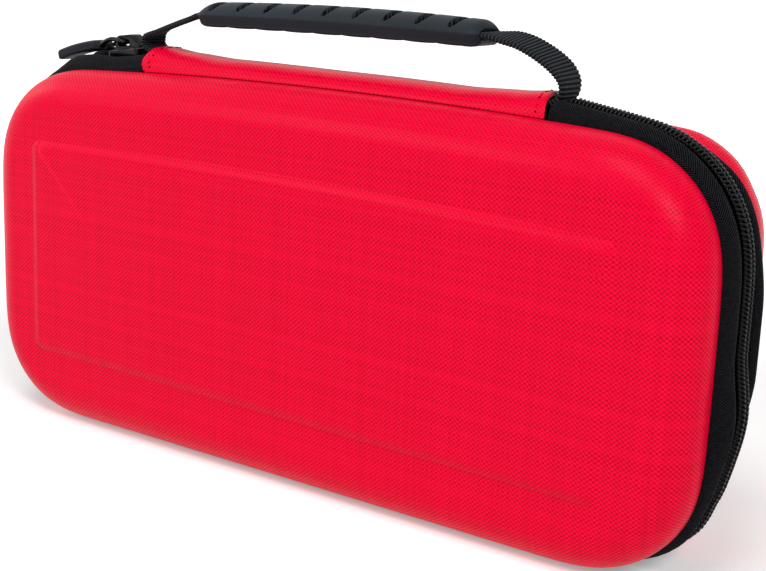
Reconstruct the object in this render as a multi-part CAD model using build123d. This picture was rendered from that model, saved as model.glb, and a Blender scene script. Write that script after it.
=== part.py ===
from build123d import *
from math import atan2, cos, radians, sin, sqrt
import os

# Zipped hard case for a handheld game console, standing on its long side.
# Millimetres. X runs along the length, the moulded front faces -Y, Z is up.

CASE_LENGTH = 260.0      # shell outline, end to end
CASE_HEIGHT = 122.5      # shell outline at mid length
TOP_BOW = 2.6            # rise of the top edge between its corners
CORNER_R = 33.0
ZIP_GAP = 22.0           # distance between the two shell rims
FRONT_DEPTH = 14.5       # rim to front face
REAR_DEPTH = 24.0
EDGE_R = 13.0            # rounding from wall to face
WALL = 4.0               # laminated foam and fabric
RIM_LAND = 6.4           # thickness of the wall at the rim
RIM_LAND_DEPTH = 6.0

PANEL_SIDE = 22.8        # case outline to raised panel
PANEL_HEAD = 24.5
PANEL_FOOT = 23.8
PANEL_BOW = 2.3          # rise of the panel's top edge between its corners
PANEL_TILT = -0.6        # the panel sits slightly out of square
PANEL_RISE = 1.5
PANEL_R = 4.0
PANEL_SHOULDER = 3.2     # width of the sloping shoulder around the panel

ZIP_CREST = 4.0          # coil crest outside the shell outline
ZIP_FOOT_CLEAR = 0.3     # coil crest above the floor at the bottom
TAPE = 1.1
TAPE_FLAT = 5.6          # flat tape each side of the middle line
ROLL_HALF = 8.4          # middle of the soft roll in the tape
ROLL_CREST = 3.7
RIM_SEAT = -0.4         # tape edge on the rim, below the shell outline
COIL_HALF = 2.9
HALF_GAP = 0.2           # half the slit between the two zip halves
JOINT_GAP = 0.5          # between the zip run and its end pieces
COIL_STOPS = (8.5, 5.5)   # spine to the last coil, left and right, clear of the handle strap

SPINE_SETBACKS = (27.0, 20.0)    # corner start to spine end, left and right
SPINE_THICK = 1.5
SPINE_STATIONS = (0.0, 0.082, 0.19, 0.476, 0.789, 0.912, 1.0)    # shares of the spine's length
SPINE_RISES = (8.6, 6.9, 5.2, 5.0, 5.2, 6.5, 7.8)
LEFT_RAMP = 2.4          # lift of the zip end where it meets the spine
RIGHT_RAMP = 2.0

STRAP_WIDTH = 11.0
STRAP_THICK = 1.6
STRAP_FIT = 0.3
STRAP_LEFT_BENDS = ((-1.5, 4.5), (-5.8, 6.7), (-5.4, 9.8), (-0.5, 12.3), (7.0, 14.9))     # from the spine's end
STRAP_RIGHT_BENDS = ((-5.0, 14.2), (-0.6, 11.4), (1.4, 8.2), (1.0, 4.8), (-2.2, 2.2))
STRAP_TUCKS = ((13.0, 1.9), (4.0, 4.0), (13.0, 1.8))    # inside the spine: depth, height over the rim
GRIP_SETBACKS = (16.7, 24.3)     # spine end to grip end, left and right
GRIP_RISES = (17.7, 18.7)        # grip ends above the case
GRIP_BOW = 1.3
GRIP_WIDTH = 16.0
GRIP_TOP = 4.0
GRIP_UNDER = 3.9
GRIP_RIDGE = -1.0
GRIP_SLOTS = 9
GRIP_PLAIN_END = 3.5

SLIDER_SETBACK = 14.2    # slider's middle beyond the spine's left end
SLIDER_LENGTH = 11.5
SLIDER_NOSE = 9.4
SLIDER_TAIL = 7.8
SLIDER_PLATE = 1.4
SLIDER_FIT = 0.3
SLIDER_TRAVEL = 7.0
POST_HALF = 0.9
BRIDGE_HALF = 1.3
BRIDGE_RISE = 5.4
LINK_R = 0.8
LINK_HALF = 2.7
LINK_REACH = 8.2
PULL_TILT = -3.0         # rest angle of the pull on the slider
TAB_LENGTH = 24.0
TAB_WIDTH = 8.4
TAB_THICK = 2.6
TAB_DISH = 11.0

HOLD_STRAP_WIDTH = 25.0
HOLD_STRAP_X = 68.0
HOLD_STRAP_THICK = 1.2
HOLD_STRAP_IN = 7.5      # below the rear rim
MESH_THICK = 0.8
MESH_IN = 2.2            # below the front rim
MESH_SHARE = 0.604       # height of the mesh as a share of the case
MESH_BINDING = 8.0

CORNER_X = CASE_LENGTH / 2 - CORNER_R
TOP_CORNER_Z = CASE_HEIGHT - TOP_BOW - CORNER_R
TOP_R = (CORNER_X**2 + (TOP_BOW + CORNER_R)**2 - CORNER_R**2) / (2 * TOP_BOW)
TOP_CENTRE_Z = CASE_HEIGHT - TOP_R
SPINE_LEFT = SPINE_SETBACKS[0] - CORNER_X
SPINE_RIGHT = CORNER_X - SPINE_SETBACKS[1]
GRIP_LEFT = (SPINE_LEFT + GRIP_SETBACKS[0], CASE_HEIGHT + GRIP_RISES[0])
GRIP_RIGHT = (SPINE_RIGHT - GRIP_SETBACKS[1], CASE_HEIGHT + GRIP_RISES[1])
SLIDER_X = SPINE_LEFT - SLIDER_SETBACK
MESH_TOP = MESH_SHARE * CASE_HEIGHT
HALF = ZIP_GAP / 2
FRONT_Y = HALF + FRONT_DEPTH + PANEL_RISE
REAR_Y = HALF + REAR_DEPTH
ZIP_Y = (FRONT_Y - REAR_Y) / 2       # zip plane, with the depth centred on Y = 0
FOOT_LIFT = ZIP_CREST + ZIP_FOOT_CLEAR
COIL_HIGH = ZIP_CREST - TAPE - HALF_GAP


def top_z(x, out=0.0):
    return TOP_CENTRE_Z + sqrt((TOP_R + out)**2 - x**2)


def corner_points(out, foot):
    r = CORNER_R + out
    ux = CORNER_X / (TOP_R - CORNER_R)
    uz = (TOP_CORNER_Z - TOP_CENTRE_Z) / (TOP_R - CORNER_R)
    half_angle = atan2(uz, ux) / 2
    top_end = (CORNER_X + r * ux, TOP_CORNER_Z + r * uz)
    top_mid = (CORNER_X + r * cos(half_angle), TOP_CORNER_Z + r * sin(half_angle))
    low_z = r + foot
    low_mid = (CORNER_X + r * sin(radians(45)), low_z - r * cos(radians(45)))
    return {"side": CORNER_X + r, "top_end": top_end, "top_mid": top_mid, "low_z": low_z,
            "low_mid": low_mid, "foot": foot}


def side_edges(y, out, foot, sign):
    c = corner_points(out, foot)

    def at(x, z):
        return (sign * x, y, z)

    return [
        ThreePointArc(at(*c["top_end"]), at(*c["top_mid"]), at(c["side"], TOP_CORNER_Z)),
        Line(at(c["side"], TOP_CORNER_Z), at(c["side"], c["low_z"])),
        ThreePointArc(at(c["side"], c["low_z"]), at(*c["low_mid"]), at(CORNER_X, c["foot"])),
    ]


def case_outline(y, inset=0.0):
    foot = inset
    c = corner_points(-inset, foot)
    tx, tz = c["top_end"]
    edges = side_edges(y, -inset, foot, 1) + side_edges(y, -inset, foot, -1)
    edges.append(Line((-CORNER_X, y, foot), (CORNER_X, y, foot)))
    edges.append(ThreePointArc((-tx, y, tz), (0, y, CASE_HEIGHT - inset), (tx, y, tz)))
    return make_face(edges)


def zip_path():
    # runs down the left side, along the bottom and up the right side, on the shell outline
    c = corner_points(0.0, FOOT_LIFT)
    edges = side_edges(0.0, 0.0, FOOT_LIFT, -1)
    edges.append(Line((-CORNER_X, 0, c["foot"]), (CORNER_X, 0, c["foot"])))
    edges += side_edges(0.0, 0.0, FOOT_LIFT, 1)
    return Wire(edges)


def rounded_slab(inset, depth, edge_r, sign):
    slab = extrude(case_outline(sign * HALF, inset), amount=depth, dir=(0, sign, 0))
    far = slab.faces().sort_by(Axis.Y)[-1 if sign > 0 else 0]
    return fillet(far.edges(), edge_r)


def cavity(depth, sign):
    return rounded_slab(WALL, depth - WALL, EDGE_R - WALL, sign)


def shell(depth, sign):
    body = rounded_slab(0.0, depth, EDGE_R, sign) - cavity(depth, sign)
    land = extrude(case_outline(sign * HALF, WALL), amount=RIM_LAND_DEPTH, dir=(0, sign, 0))
    land -= extrude(case_outline(sign * HALF, RIM_LAND), amount=RIM_LAND_DEPTH, dir=(0, sign, 0))
    return body + land


def front_panel():
    half = CASE_LENGTH / 2 - PANEL_SIDE
    head = CASE_HEIGHT - PANEL_HEAD
    side = head - PANEL_BOW
    edges = [ThreePointArc((-half, side), (0, head), (half, side)), Line((half, side), (half, PANEL_FOOT))]
    edges += [Line((half, PANEL_FOOT), (-half, PANEL_FOOT)), Line((-half, PANEL_FOOT), (-half, side))]
    outline = make_face(edges)
    outline = fillet(outline.vertices(), PANEL_R)
    middle = (head + PANEL_FOOT) / 2
    outline = Pos(0, middle) * Rot(0, 0, PANEL_TILT) * Pos(0, -middle) * outline
    plane = Plane((0, -HALF - FRONT_DEPTH, 0), x_dir=(1, 0, 0), z_dir=(0, -1, 0))
    panel = extrude(plane * outline, amount=PANEL_RISE)
    return chamfer(panel.faces().sort_by(Axis.Y)[0].edges(), PANEL_RISE - 0.1, PANEL_SHOULDER)


def tape_edges(side, lift=0.0, inner=HALF_GAP):
    # soft tape from the slit out to the shell rim; side is +1 towards the front
    def at(u, h):
        return (side * u, h)

    low = HALF_GAP + lift
    high = low + TAPE
    crest = ROLL_CREST + lift
    swell = crest - high
    near = ROLL_HALF - TAPE_FLAT
    far = HALF - ROLL_HALF
    outer = [(TAPE_FLAT, high), (TAPE_FLAT + 0.43 * near, high + 0.7 * swell), (ROLL_HALF, crest)]
    outer += [(ROLL_HALF + 0.58 * far, 0.7 * crest), (ROLL_HALF + 0.83 * far, 0.34 * crest), (HALF, RIM_SEAT)]
    inner_run = [(HALF, RIM_SEAT - 1.35 * TAPE), (ROLL_HALF + 0.42 * far, 0.34 * crest - 0.3 * TAPE)]
    inner_run += [(ROLL_HALF + 0.19 * far, 0.7 * crest - 0.45 * TAPE), (ROLL_HALF - 0.3 * TAPE, crest - TAPE)]
    inner_run += [(TAPE_FLAT + 0.57 * near, high + 0.7 * swell - TAPE), (TAPE_FLAT + 0.35 * TAPE, low)]
    return [
        Line(at(inner, low), at(inner, high)),
        Line(at(inner, high), at(*outer[0])),
        Spline(*[at(u, h) for u, h in outer], tangents=[at(1.0, 0.7), at(0.0, -1.0)]),
        Line(at(*outer[-1]), at(*inner_run[0])),
        Spline(*[at(u, h) for u, h in inner_run], tangents=[at(-0.8, 0.7), at(-1.0, -0.5)]),
        Line(at(*inner_run[-1]), at(inner, low)),
    ]


def coil_edges(side, lift=0.0, inner=HALF_GAP):
    def at(u, h):
        return (side * u, h)

    low = HALF_GAP + TAPE + lift
    shoulder = low + 0.45 * COIL_HIGH
    crest = low + COIL_HIGH
    mid = (COIL_HALF + HALF_GAP) / 2
    return [
        Line(at(inner, low), at(COIL_HALF, low)),
        Line(at(COIL_HALF, low), at(COIL_HALF, shoulder)),
        ThreePointArc(at(COIL_HALF, shoulder), at(0.78 * COIL_HALF, low + 0.86 * COIL_HIGH), at(mid, crest)),
        Line(at(mid, crest), at(inner, crest)),
        Line(at(inner, crest), at(inner, low)),
    ]


def zip_run(edges):
    path = zip_path()
    start = path @ 0
    plane = Plane(start, x_dir=(0, -1, 0), z_dir=path % 0)
    return sweep(plane * make_face(edges), path=path)


def ramp_line(sign):
    # the zip end rises in a straight line from the corner to the spine
    inner_x = SPINE_LEFT - JOINT_GAP if sign < 0 else SPINE_RIGHT + JOINT_GAP
    outer_x = sign * (CORNER_X - JOINT_GAP)
    ramp = LEFT_RAMP if sign < 0 else RIGHT_RAMP
    return outer_x, top_z(outer_x), inner_x, top_z(inner_x) + ramp


def zip_end(make_edges, side, sign, stop_x):
    x0, z0, x1, z1 = ramp_line(sign)
    sections = []
    for x in (x0, stop_x):
        lift = z0 + (z1 - z0) * (x - x0) / (x1 - x0) - top_z(x)
        plane = Plane((x, 0, top_z(x)), x_dir=(0, -1, 0), z_dir=(-1, 0, 0))
        sections.append(plane * make_face(make_edges(side, lift)))
    return loft(sections, ruled=True)


def zip_ends(make_edges, sign, stop_x):
    front = zip_end(make_edges, 1, sign, stop_x)
    rear = mirror(front, about=Plane.XZ)
    if sign < 0:
        reach = SLIDER_SETBACK + SLIDER_TRAVEL + POST_HALF
        slit = Pos(SPINE_LEFT, 0, CASE_HEIGHT) * Box(2 * reach, 2 * (POST_HALF + SLIDER_FIT), CASE_HEIGHT)
        front -= slit
        rear -= slit
    return Compound([front.solid(), rear.solid()])


def spine_section(x, rise):
    z = top_z(x)
    plane = Plane((x, 0, z), x_dir=(0, 1, 0), z_dir=(1, 0, 0))
    outer = [(-HALF, RIM_SEAT), (-HALF + 1.3, 0.56 * rise), (-5.6, 0.92 * rise), (0, rise)]
    outer += [(-u, h) for u, h in reversed(outer[:-1])]
    t = SPINE_THICK
    inner = [(HALF, -2.4), (HALF - 1.3 - t, 0.56 * rise - t), (5.2, 0.92 * rise - t), (0, rise - t)]
    inner += [(-u, h) for u, h in reversed(inner[:-1])]
    outside = Spline(*outer, tangents=[(0, 1), (0, -1)])
    inside = Spline(*inner, tangents=[(-0.6, 1), (-0.6, -1)])
    edges = [outside, Line(outer[-1], inner[0]), inside, Line(inner[-1], outer[0])]
    return plane * make_face(edges)


def spine_fabric():
    length = SPINE_RIGHT - SPINE_LEFT
    stations = [SPINE_LEFT + share * length for share in SPINE_STATIONS]
    return loft([spine_section(x, rise) for x, rise in zip(stations, SPINE_RISES)])


def strap_points():
    (gx, gz), (hx, hz) = GRIP_LEFT, GRIP_RIGHT
    left = [(SPINE_LEFT + x, top_z(SPINE_LEFT + x) + z) for x, z in STRAP_TUCKS[:2]]
    left += [(SPINE_LEFT + x, CASE_HEIGHT + z) for x, z in STRAP_LEFT_BENDS]
    left += [(gx - 3 * STRAP_THICK, gz - 0.7 * STRAP_THICK), (gx, gz)]
    right = [(hx, hz), (hx + 3.6 * STRAP_THICK, hz - 0.2 * STRAP_THICK), (hx + 7 * STRAP_THICK, hz - 0.9 * STRAP_THICK)]
    right += [(SPINE_RIGHT + x, CASE_HEIGHT + z) for x, z in STRAP_RIGHT_BENDS]
    depth, height = STRAP_TUCKS[2]
    right += [(SPINE_RIGHT - depth, top_z(SPINE_RIGHT - depth) + height)]
    return left, right


def strap_band(points, y0, y1):
    line = Spline(*[(x, z) for x, z in points])
    steps = 60
    upper = []
    lower = []
    for i in range(steps + 1):
        p = line @ (i / steps)
        t = line % (i / steps)
        upper.append((p.X - t.Y * STRAP_THICK / 2, p.Y + t.X * STRAP_THICK / 2))
        lower.append((p.X + t.Y * STRAP_THICK / 2, p.Y - t.X * STRAP_THICK / 2))
    edges = [Spline(*upper), Line(upper[-1], lower[-1]), Spline(*reversed(lower)), Line(lower[0], upper[0])]
    plane = Plane((0, y1, 0), x_dir=(1, 0, 0), z_dir=(0, -1, 0))
    return extrude(plane * make_face(edges), amount=y1 - y0)


def grip_line():
    # gentle arch from one end of the grip to the other
    (gx, gz), (hx, hz) = GRIP_LEFT, GRIP_RIGHT
    crown = ((gx + hx) / 2, 0, (gz + hz) / 2 + GRIP_BOW)
    return ThreePointArc((gx, 0, gz), crown, (hx, 0, hz))


def handle_strap():
    left, right = strap_points()
    line = grip_line()
    stations = (0.01, 0.03, 0.07, 0.14, 0.3, 0.5, 0.7, 0.86, 0.93, 0.97, 0.99)
    middle = [((line @ k).X, (line @ k).Z) for k in stations]
    return strap_band(left + middle + right, -STRAP_WIDTH / 2, STRAP_WIDTH / 2)


def along_grip(face):
    line = grip_line()
    plane = Plane(line @ 0, x_dir=(0, 1, 0), z_dir=line % 0)
    return sweep(plane * face, path=line)


def handle_grip():
    (gx, gz), (hx, hz) = GRIP_LEFT, GRIP_RIGHT
    length = hx - gx
    w = GRIP_WIDTH / 2
    low = w - 1.4
    edges = [
        ThreePointArc((-w, GRIP_RIDGE), (0, GRIP_TOP), (w, GRIP_RIDGE)),
        Line((w, GRIP_RIDGE), (low, -GRIP_UNDER + 1.0)),
        ThreePointArc((low, -GRIP_UNDER + 1.0), (0, -GRIP_UNDER), (-low, -GRIP_UNDER + 1.0)),
        Line((-low, -GRIP_UNDER + 1.0), (-w, GRIP_RIDGE)),
    ]
    bar = along_grip(make_face(edges))
    plan = extrude(RectangleRounded(length, GRIP_WIDTH + 0.4, w - 0.2), amount=4 * GRIP_WIDTH, both=True)
    bar &= Pos((gx + hx) / 2, 0, (gz + hz) / 2) * plan
    line = grip_line()
    for i in range(GRIP_SLOTS):
        share = (GRIP_PLAIN_END + (length - 2 * GRIP_PLAIN_END) * (i + 0.5) / GRIP_SLOTS) / length
        place = Plane(line @ share, x_dir=line % share, z_dir=(-(line % share).Z, 0, (line % share).X))
        bar -= place.location * Pos(0, 0, GRIP_TOP + 0.6) * Box(3.4, 11.5, 3.6)
        bar -= place.location * Pos(0, 0, -GRIP_UNDER - 1.6) * Box(5.0, 30.0, 4.0)
    hollow = Rectangle(STRAP_WIDTH + 2 * STRAP_FIT, STRAP_THICK + 2 * STRAP_FIT)
    return bar - along_grip(hollow)


def slider_plane():
    x0, z0, x1, z1 = ramp_line(-1)
    z = z0 + (z1 - z0) * (SLIDER_X - x0) / (x1 - x0)
    return Plane((SLIDER_X, 0, z), x_dir=(x1 - x0, 0, z1 - z0), z_dir=(z0 - z1, 0, x1 - x0))


def slider_plan():
    l = SLIDER_LENGTH / 2
    n = SLIDER_NOSE / 2
    t = SLIDER_TAIL / 2
    plan = make_face(Polyline((-l, -t), (1.0, -t), (l, -n), (l, n), (1.0, t), (-l, t), close=True))
    return fillet(plan.vertices(), 1.2)


def slider_levels():
    under = HALF_GAP - SLIDER_FIT
    over = ZIP_CREST + SLIDER_FIT
    return under, over


def slider_body():
    under, over = slider_levels()
    plan = slider_plan()
    bottom = Pos(0, 0, under - SLIDER_PLATE) * extrude(plan, amount=SLIDER_PLATE)
    top = Pos(0, 0, over) * extrude(plan, amount=SLIDER_PLATE)
    top = fillet(top.faces().sort_by(Axis.Z)[-1].edges(), 0.6)
    inner = COIL_HALF + SLIDER_FIT
    lip_low = HALF_GAP + TAPE + SLIDER_FIT
    lips = extrude(plan, amount=over - lip_low + 0.2)
    lips -= Box(40, 2 * inner, 40)
    lips = Pos(0, 0, lip_low) * lips
    post_x = SLIDER_LENGTH / 2 - 2.4
    post = Pos(post_x, 0, (under + over) / 2) * Box(2.6, 2 * POST_HALF, over - under + 0.4)
    return bottom + top + lips + post


def bridge_levels():
    under, over = slider_levels()
    foot = over + SLIDER_PLATE
    return foot, foot + 0.42 * BRIDGE_RISE


def slider_bridge():
    foot, bar = bridge_levels()
    rise = foot + BRIDGE_RISE
    side = make_face(Polyline((-4.4, foot), (-3.3, rise), (2.6, rise), (4.6, foot), close=True))
    side = fillet(side.vertices().sort_by(Axis.Y)[2:], 1.4)
    eye = Pos(-0.9, bar) * SlotOverall(4.4, 2 * (LINK_R + SLIDER_FIT))
    plane = Plane((0, BRIDGE_HALF, 0), x_dir=(1, 0, 0), z_dir=(0, -1, 0))
    return extrude(plane * (side - eye), amount=2 * BRIDGE_HALF)


def pull_plane():
    foot, bar = bridge_levels()
    return slider_plane() * Pos(-1.8, 0, bar) * Rot(0, PULL_TILT, 0)


def pull_link():
    r = LINK_R
    near = Pos(0, 0, 0) * Rot(90, 0, 0) * Cylinder(r, 2 * LINK_HALF)
    far = Pos(-LINK_REACH, 0, 0) * Rot(90, 0, 0) * Cylinder(r, 2 * LINK_HALF)
    arm = Rot(0, 90, 0) * Cylinder(r, LINK_REACH)
    link = near + far
    for side in (-1, 1):
        link += Pos(-LINK_REACH / 2, side * LINK_HALF, 0) * arm
        for x in (0, -LINK_REACH):
            link += Pos(x, side * LINK_HALF, 0) * Sphere(r)
    return link


def pull_tab():
    lug = LINK_HALF - LINK_R - 0.25
    x0 = -LINK_REACH + LINK_R + 1.0
    x1 = x0 - TAB_LENGTH
    w = TAB_WIDTH / 2
    neck = -LINK_REACH - LINK_R - 0.6
    half = [(x0, lug), (neck, lug), (neck - 2.2, w - 0.6), ((neck + x1) / 2, w), (x1 + 1.2, w - 0.9)]
    lower = [(x, -y) for x, y in reversed(half)]
    plan = make_face(Polyline(*half, (x1, w - 2.4), (x1, 2.4 - w), *lower, close=True))
    tab = Pos(0, 0, -TAB_THICK / 2) * extrude(plan, amount=TAB_THICK)
    tab = chamfer(tab.faces().sort_by(Axis.Z)[-1].edges() + tab.faces().sort_by(Axis.Z)[0].edges(), 0.5)
    hole = Pos(-LINK_REACH, 0, 0) * Rot(90, 0, 0) * Cylinder(LINK_R + 0.2, 20)
    dish = Pos((neck - 4.0 + x1) / 2, 0, TAB_THICK / 2 + 0.2) * Box(TAB_DISH, TAB_WIDTH - 3.6, 1.2)
    return tab - hole - dish


def hold_strap(sign):
    y = HALF + HOLD_STRAP_IN
    band = Pos(sign * HOLD_STRAP_X, y, CASE_HEIGHT / 2) * Box(HOLD_STRAP_WIDTH, HOLD_STRAP_THICK, 2 * CASE_HEIGHT)
    return band & cavity(REAR_DEPTH, 1)


def lid_sheet(z0, z1, thick):
    y = -HALF - MESH_IN
    sheet = extrude(case_outline(y + thick / 2, RIM_LAND), amount=thick, dir=(0, -1, 0))
    return sheet & Pos(0, y, (z0 + z1) / 2) * Box(2 * CASE_LENGTH, 40, z1 - z0)


SLIDER = slider_plane()
PULL = pull_plane()
SHAPES = {
    "rear_shell": shell(REAR_DEPTH, 1),
    "rear_zip_tape": zip_run(tape_edges(-1)),
    "rear_zip_coil": zip_run(coil_edges(-1)),
    "hold_strap_left": hold_strap(-1),
    "hold_strap_right": hold_strap(1),
    "spine_fabric": spine_fabric(),
    "handle_strap": handle_strap(),
    "handle_grip": handle_grip(),
    "left_tape_ends": zip_ends(tape_edges, -1, SPINE_LEFT - JOINT_GAP),
    "left_coil_ends": zip_ends(coil_edges, -1, SPINE_LEFT - COIL_STOPS[0]),
    "right_tape_ends": zip_ends(tape_edges, 1, SPINE_RIGHT + JOINT_GAP),
    "right_coil_ends": zip_ends(coil_edges, 1, SPINE_RIGHT + COIL_STOPS[1]),
    "front_shell": shell(FRONT_DEPTH, -1) + front_panel(),
    "front_zip_tape": zip_run(tape_edges(1)),
    "front_zip_coil": zip_run(coil_edges(1)),
    "mesh_pocket": lid_sheet(0.0, MESH_TOP, MESH_THICK),
    "mesh_binding": lid_sheet(MESH_TOP, MESH_TOP + MESH_BINDING, 2 * MESH_THICK),
    "slider_body": SLIDER.location * slider_body(),
    "slider_bridge": SLIDER.location * slider_bridge(),
    "pull_link": PULL * pull_link(),
    "pull_tab": PULL * pull_tab(),
}

os.makedirs("parts", exist_ok=True)
for name, shape in SHAPES.items():
    placed = Pos(0, ZIP_Y, 0) * shape
    export_step(placed, "parts/" + name + ".step")
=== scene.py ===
import bmesh
import bpy
import math
from mathutils import Matrix, Vector


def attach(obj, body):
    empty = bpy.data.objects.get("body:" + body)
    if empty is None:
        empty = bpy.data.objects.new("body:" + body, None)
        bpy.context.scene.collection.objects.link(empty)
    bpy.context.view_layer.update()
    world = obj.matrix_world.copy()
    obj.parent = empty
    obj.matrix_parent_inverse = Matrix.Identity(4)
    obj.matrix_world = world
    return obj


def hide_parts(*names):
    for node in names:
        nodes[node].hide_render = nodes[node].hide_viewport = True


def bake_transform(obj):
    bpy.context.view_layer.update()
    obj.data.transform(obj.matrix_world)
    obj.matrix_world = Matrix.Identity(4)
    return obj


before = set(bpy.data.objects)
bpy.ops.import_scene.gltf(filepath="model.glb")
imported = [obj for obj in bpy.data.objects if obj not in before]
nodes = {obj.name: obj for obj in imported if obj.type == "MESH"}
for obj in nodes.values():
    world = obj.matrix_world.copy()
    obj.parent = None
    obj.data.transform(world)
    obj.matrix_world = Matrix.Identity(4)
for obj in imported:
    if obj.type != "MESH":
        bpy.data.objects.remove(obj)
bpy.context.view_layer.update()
mm = 0.001

caseShape = {"length": 260.0, "height": 122.5, "topBow": 2.6, "cornerR": 33.0, "zipY": -4.0, "rimHalf": 11.0}
cornerR = caseShape["cornerR"]
cornerX = caseShape["length"] / 2 - cornerR
topCornerZ = caseShape["height"] - caseShape["topBow"] - cornerR
topR = (cornerX**2 + (caseShape["topBow"] + cornerR)**2 - cornerR**2) / (2 * caseShape["topBow"])
topCentreZ = caseShape["height"] - topR
cornerTurn = math.atan2(topCornerZ - topCentreZ, cornerX)
zipY = caseShape["zipY"]
rimHalf = caseShape["rimHalf"]


def topZ(x, out=0.0):
    return topCentreZ + math.sqrt((topR + out)**2 - x * x)


def mixed(a, b, k):
    return a + (b - a) * k


def eased(k):
    k = max(0.0, min(1.0, k))
    return k * k * (3 - 2 * k)


def curveThrough(points, count):
    # even samples along a smooth line through the points
    pts = [Vector(p) for p in points]
    pts = [2 * pts[0] - pts[1]] + pts + [2 * pts[-1] - pts[-2]]
    fine = []
    for i in range(1, len(pts) - 2):
        p0, p1, p2, p3 = pts[i - 1:i + 3]
        d0, d1, d2 = [max((b - a).length, 1e-6)**0.5 for a, b in ((p0, p1), (p1, p2), (p2, p3))]
        m1 = (p1 - p0) / d0 - (p2 - p0) / (d0 + d1) + (p2 - p1) / d1
        m2 = (p2 - p1) / d1 - (p3 - p1) / (d1 + d2) + (p3 - p2) / d2
        m1, m2 = m1 * d1, m2 * d1
        for j in range(24):
            t = j / 24
            fine.append((2 * t**3 - 3 * t**2 + 1) * p1 + (t**3 - 2 * t**2 + t) * m1
                        + (3 * t**2 - 2 * t**3) * p2 + (t**3 - t**2) * m2)
    fine.append(pts[-2])
    run = [0.0]
    for a, b in zip(fine, fine[1:]):
        run.append(run[-1] + (b - a).length)
    out, k = [], 0
    for i in range(count):
        s = run[-1] * i / (count - 1)
        while k < len(run) - 2 and run[k + 1] < s:
            k += 1
        out.append(fine[k].lerp(fine[k + 1], (s - run[k]) / max(run[k + 1] - run[k], 1e-9)))
    return out, run[-1]


def meshPiece(name, verts, faces, faceUvs=None, faceMats=None, materials=(), smooth=True, flip=True):
    mesh = bpy.data.meshes.new(name)
    mesh.from_pydata([(x * mm, y * mm, z * mm) for x, y, z in verts], [], faces)
    if faceUvs:
        layer = mesh.uv_layers.new(name="cloth")
        flat = [c for corners in faceUvs for uv in corners for c in (uv[0] * mm, uv[1] * mm)]
        layer.data.foreach_set("uv", flat)
    for m in materials:
        mesh.materials.append(m)
    if faceMats:
        mesh.polygons.foreach_set("material_index", faceMats)
    if flip:
        bm = bmesh.new()
        bm.from_mesh(mesh)
        bmesh.ops.recalc_face_normals(bm, faces=bm.faces)
        bm.to_mesh(mesh)
        bm.free()
    mesh.polygons.foreach_set("use_smooth", [smooth] * len(mesh.polygons))
    mesh.update()
    obj = bpy.data.objects.new(name, mesh)
    bpy.context.scene.collection.objects.link(obj)
    return obj


def loftPiece(name, rings, uvs=None, mats=None, materials=(), closed=True, caps=True, smooth=True):
    # rings of equal length; uvs has one more entry in each ring where the ring closes
    n = len(rings[0])
    verts = [p for ring in rings for p in ring]
    faces, faceUvs, faceMats = [], [], []
    for i in range(len(rings) - 1):
        for j in range(n if closed else n - 1):
            k = (j + 1) % n
            faces.append((i * n + j, i * n + k, (i + 1) * n + k, (i + 1) * n + j))
            if uvs:
                faceUvs.append((uvs[i][j], uvs[i][j + 1], uvs[i + 1][j + 1], uvs[i + 1][j]))
            faceMats.append(mats[i] if mats else 0)
    if caps:
        for i in (0, len(rings) - 1):
            faces.append(tuple(range(i * n, i * n + n)))
            if uvs:
                faceUvs.append(tuple(uvs[i][:n]))
            faceMats.append(mats[min(i, len(mats) - 1)] if mats else 0)
    return meshPiece(name, verts, faces, faceUvs if uvs else None, faceMats, materials, smooth)


# materials

def nodeTree(material):
    material.use_nodes = True
    tree = material.node_tree
    tree.nodes.clear()
    out = tree.nodes.new("ShaderNodeOutputMaterial")
    shader = tree.nodes.new("ShaderNodeBsdfPrincipled")
    tree.links.new(shader.outputs[0], out.inputs[0])
    return tree, shader


def add(tree, kind, inputs=None, **settings):
    node = tree.nodes.new(kind)
    for key, value in settings.items():
        setattr(node, key, value)
    for key, value in (inputs or {}).items():
        socket = node.inputs[key]
        if isinstance(value, bpy.types.NodeSocket):
            tree.links.new(value, socket)
        else:
            socket.default_value = value
    return node


def calc(tree, operation, a, b=None, c=None):
    inputs = {0: a}
    if b is not None:
        inputs[1] = b
    if c is not None:
        inputs[2] = c
    return add(tree, "ShaderNodeMath", inputs, operation=operation).outputs[0]


def newGroup(name, ins, outs):
    group = bpy.data.node_groups.new(name, "ShaderNodeTree")
    for label, kind, value in ins:
        socket = group.interface.new_socket(name=label, in_out="INPUT", socket_type=kind)
        if value is not None:
            socket.default_value = value
    for label, kind in outs:
        group.interface.new_socket(name=label, in_out="OUTPUT", socket_type=kind)
    return group, group.nodes.new("NodeGroupInput"), group.nodes.new("NodeGroupOutput")


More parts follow.
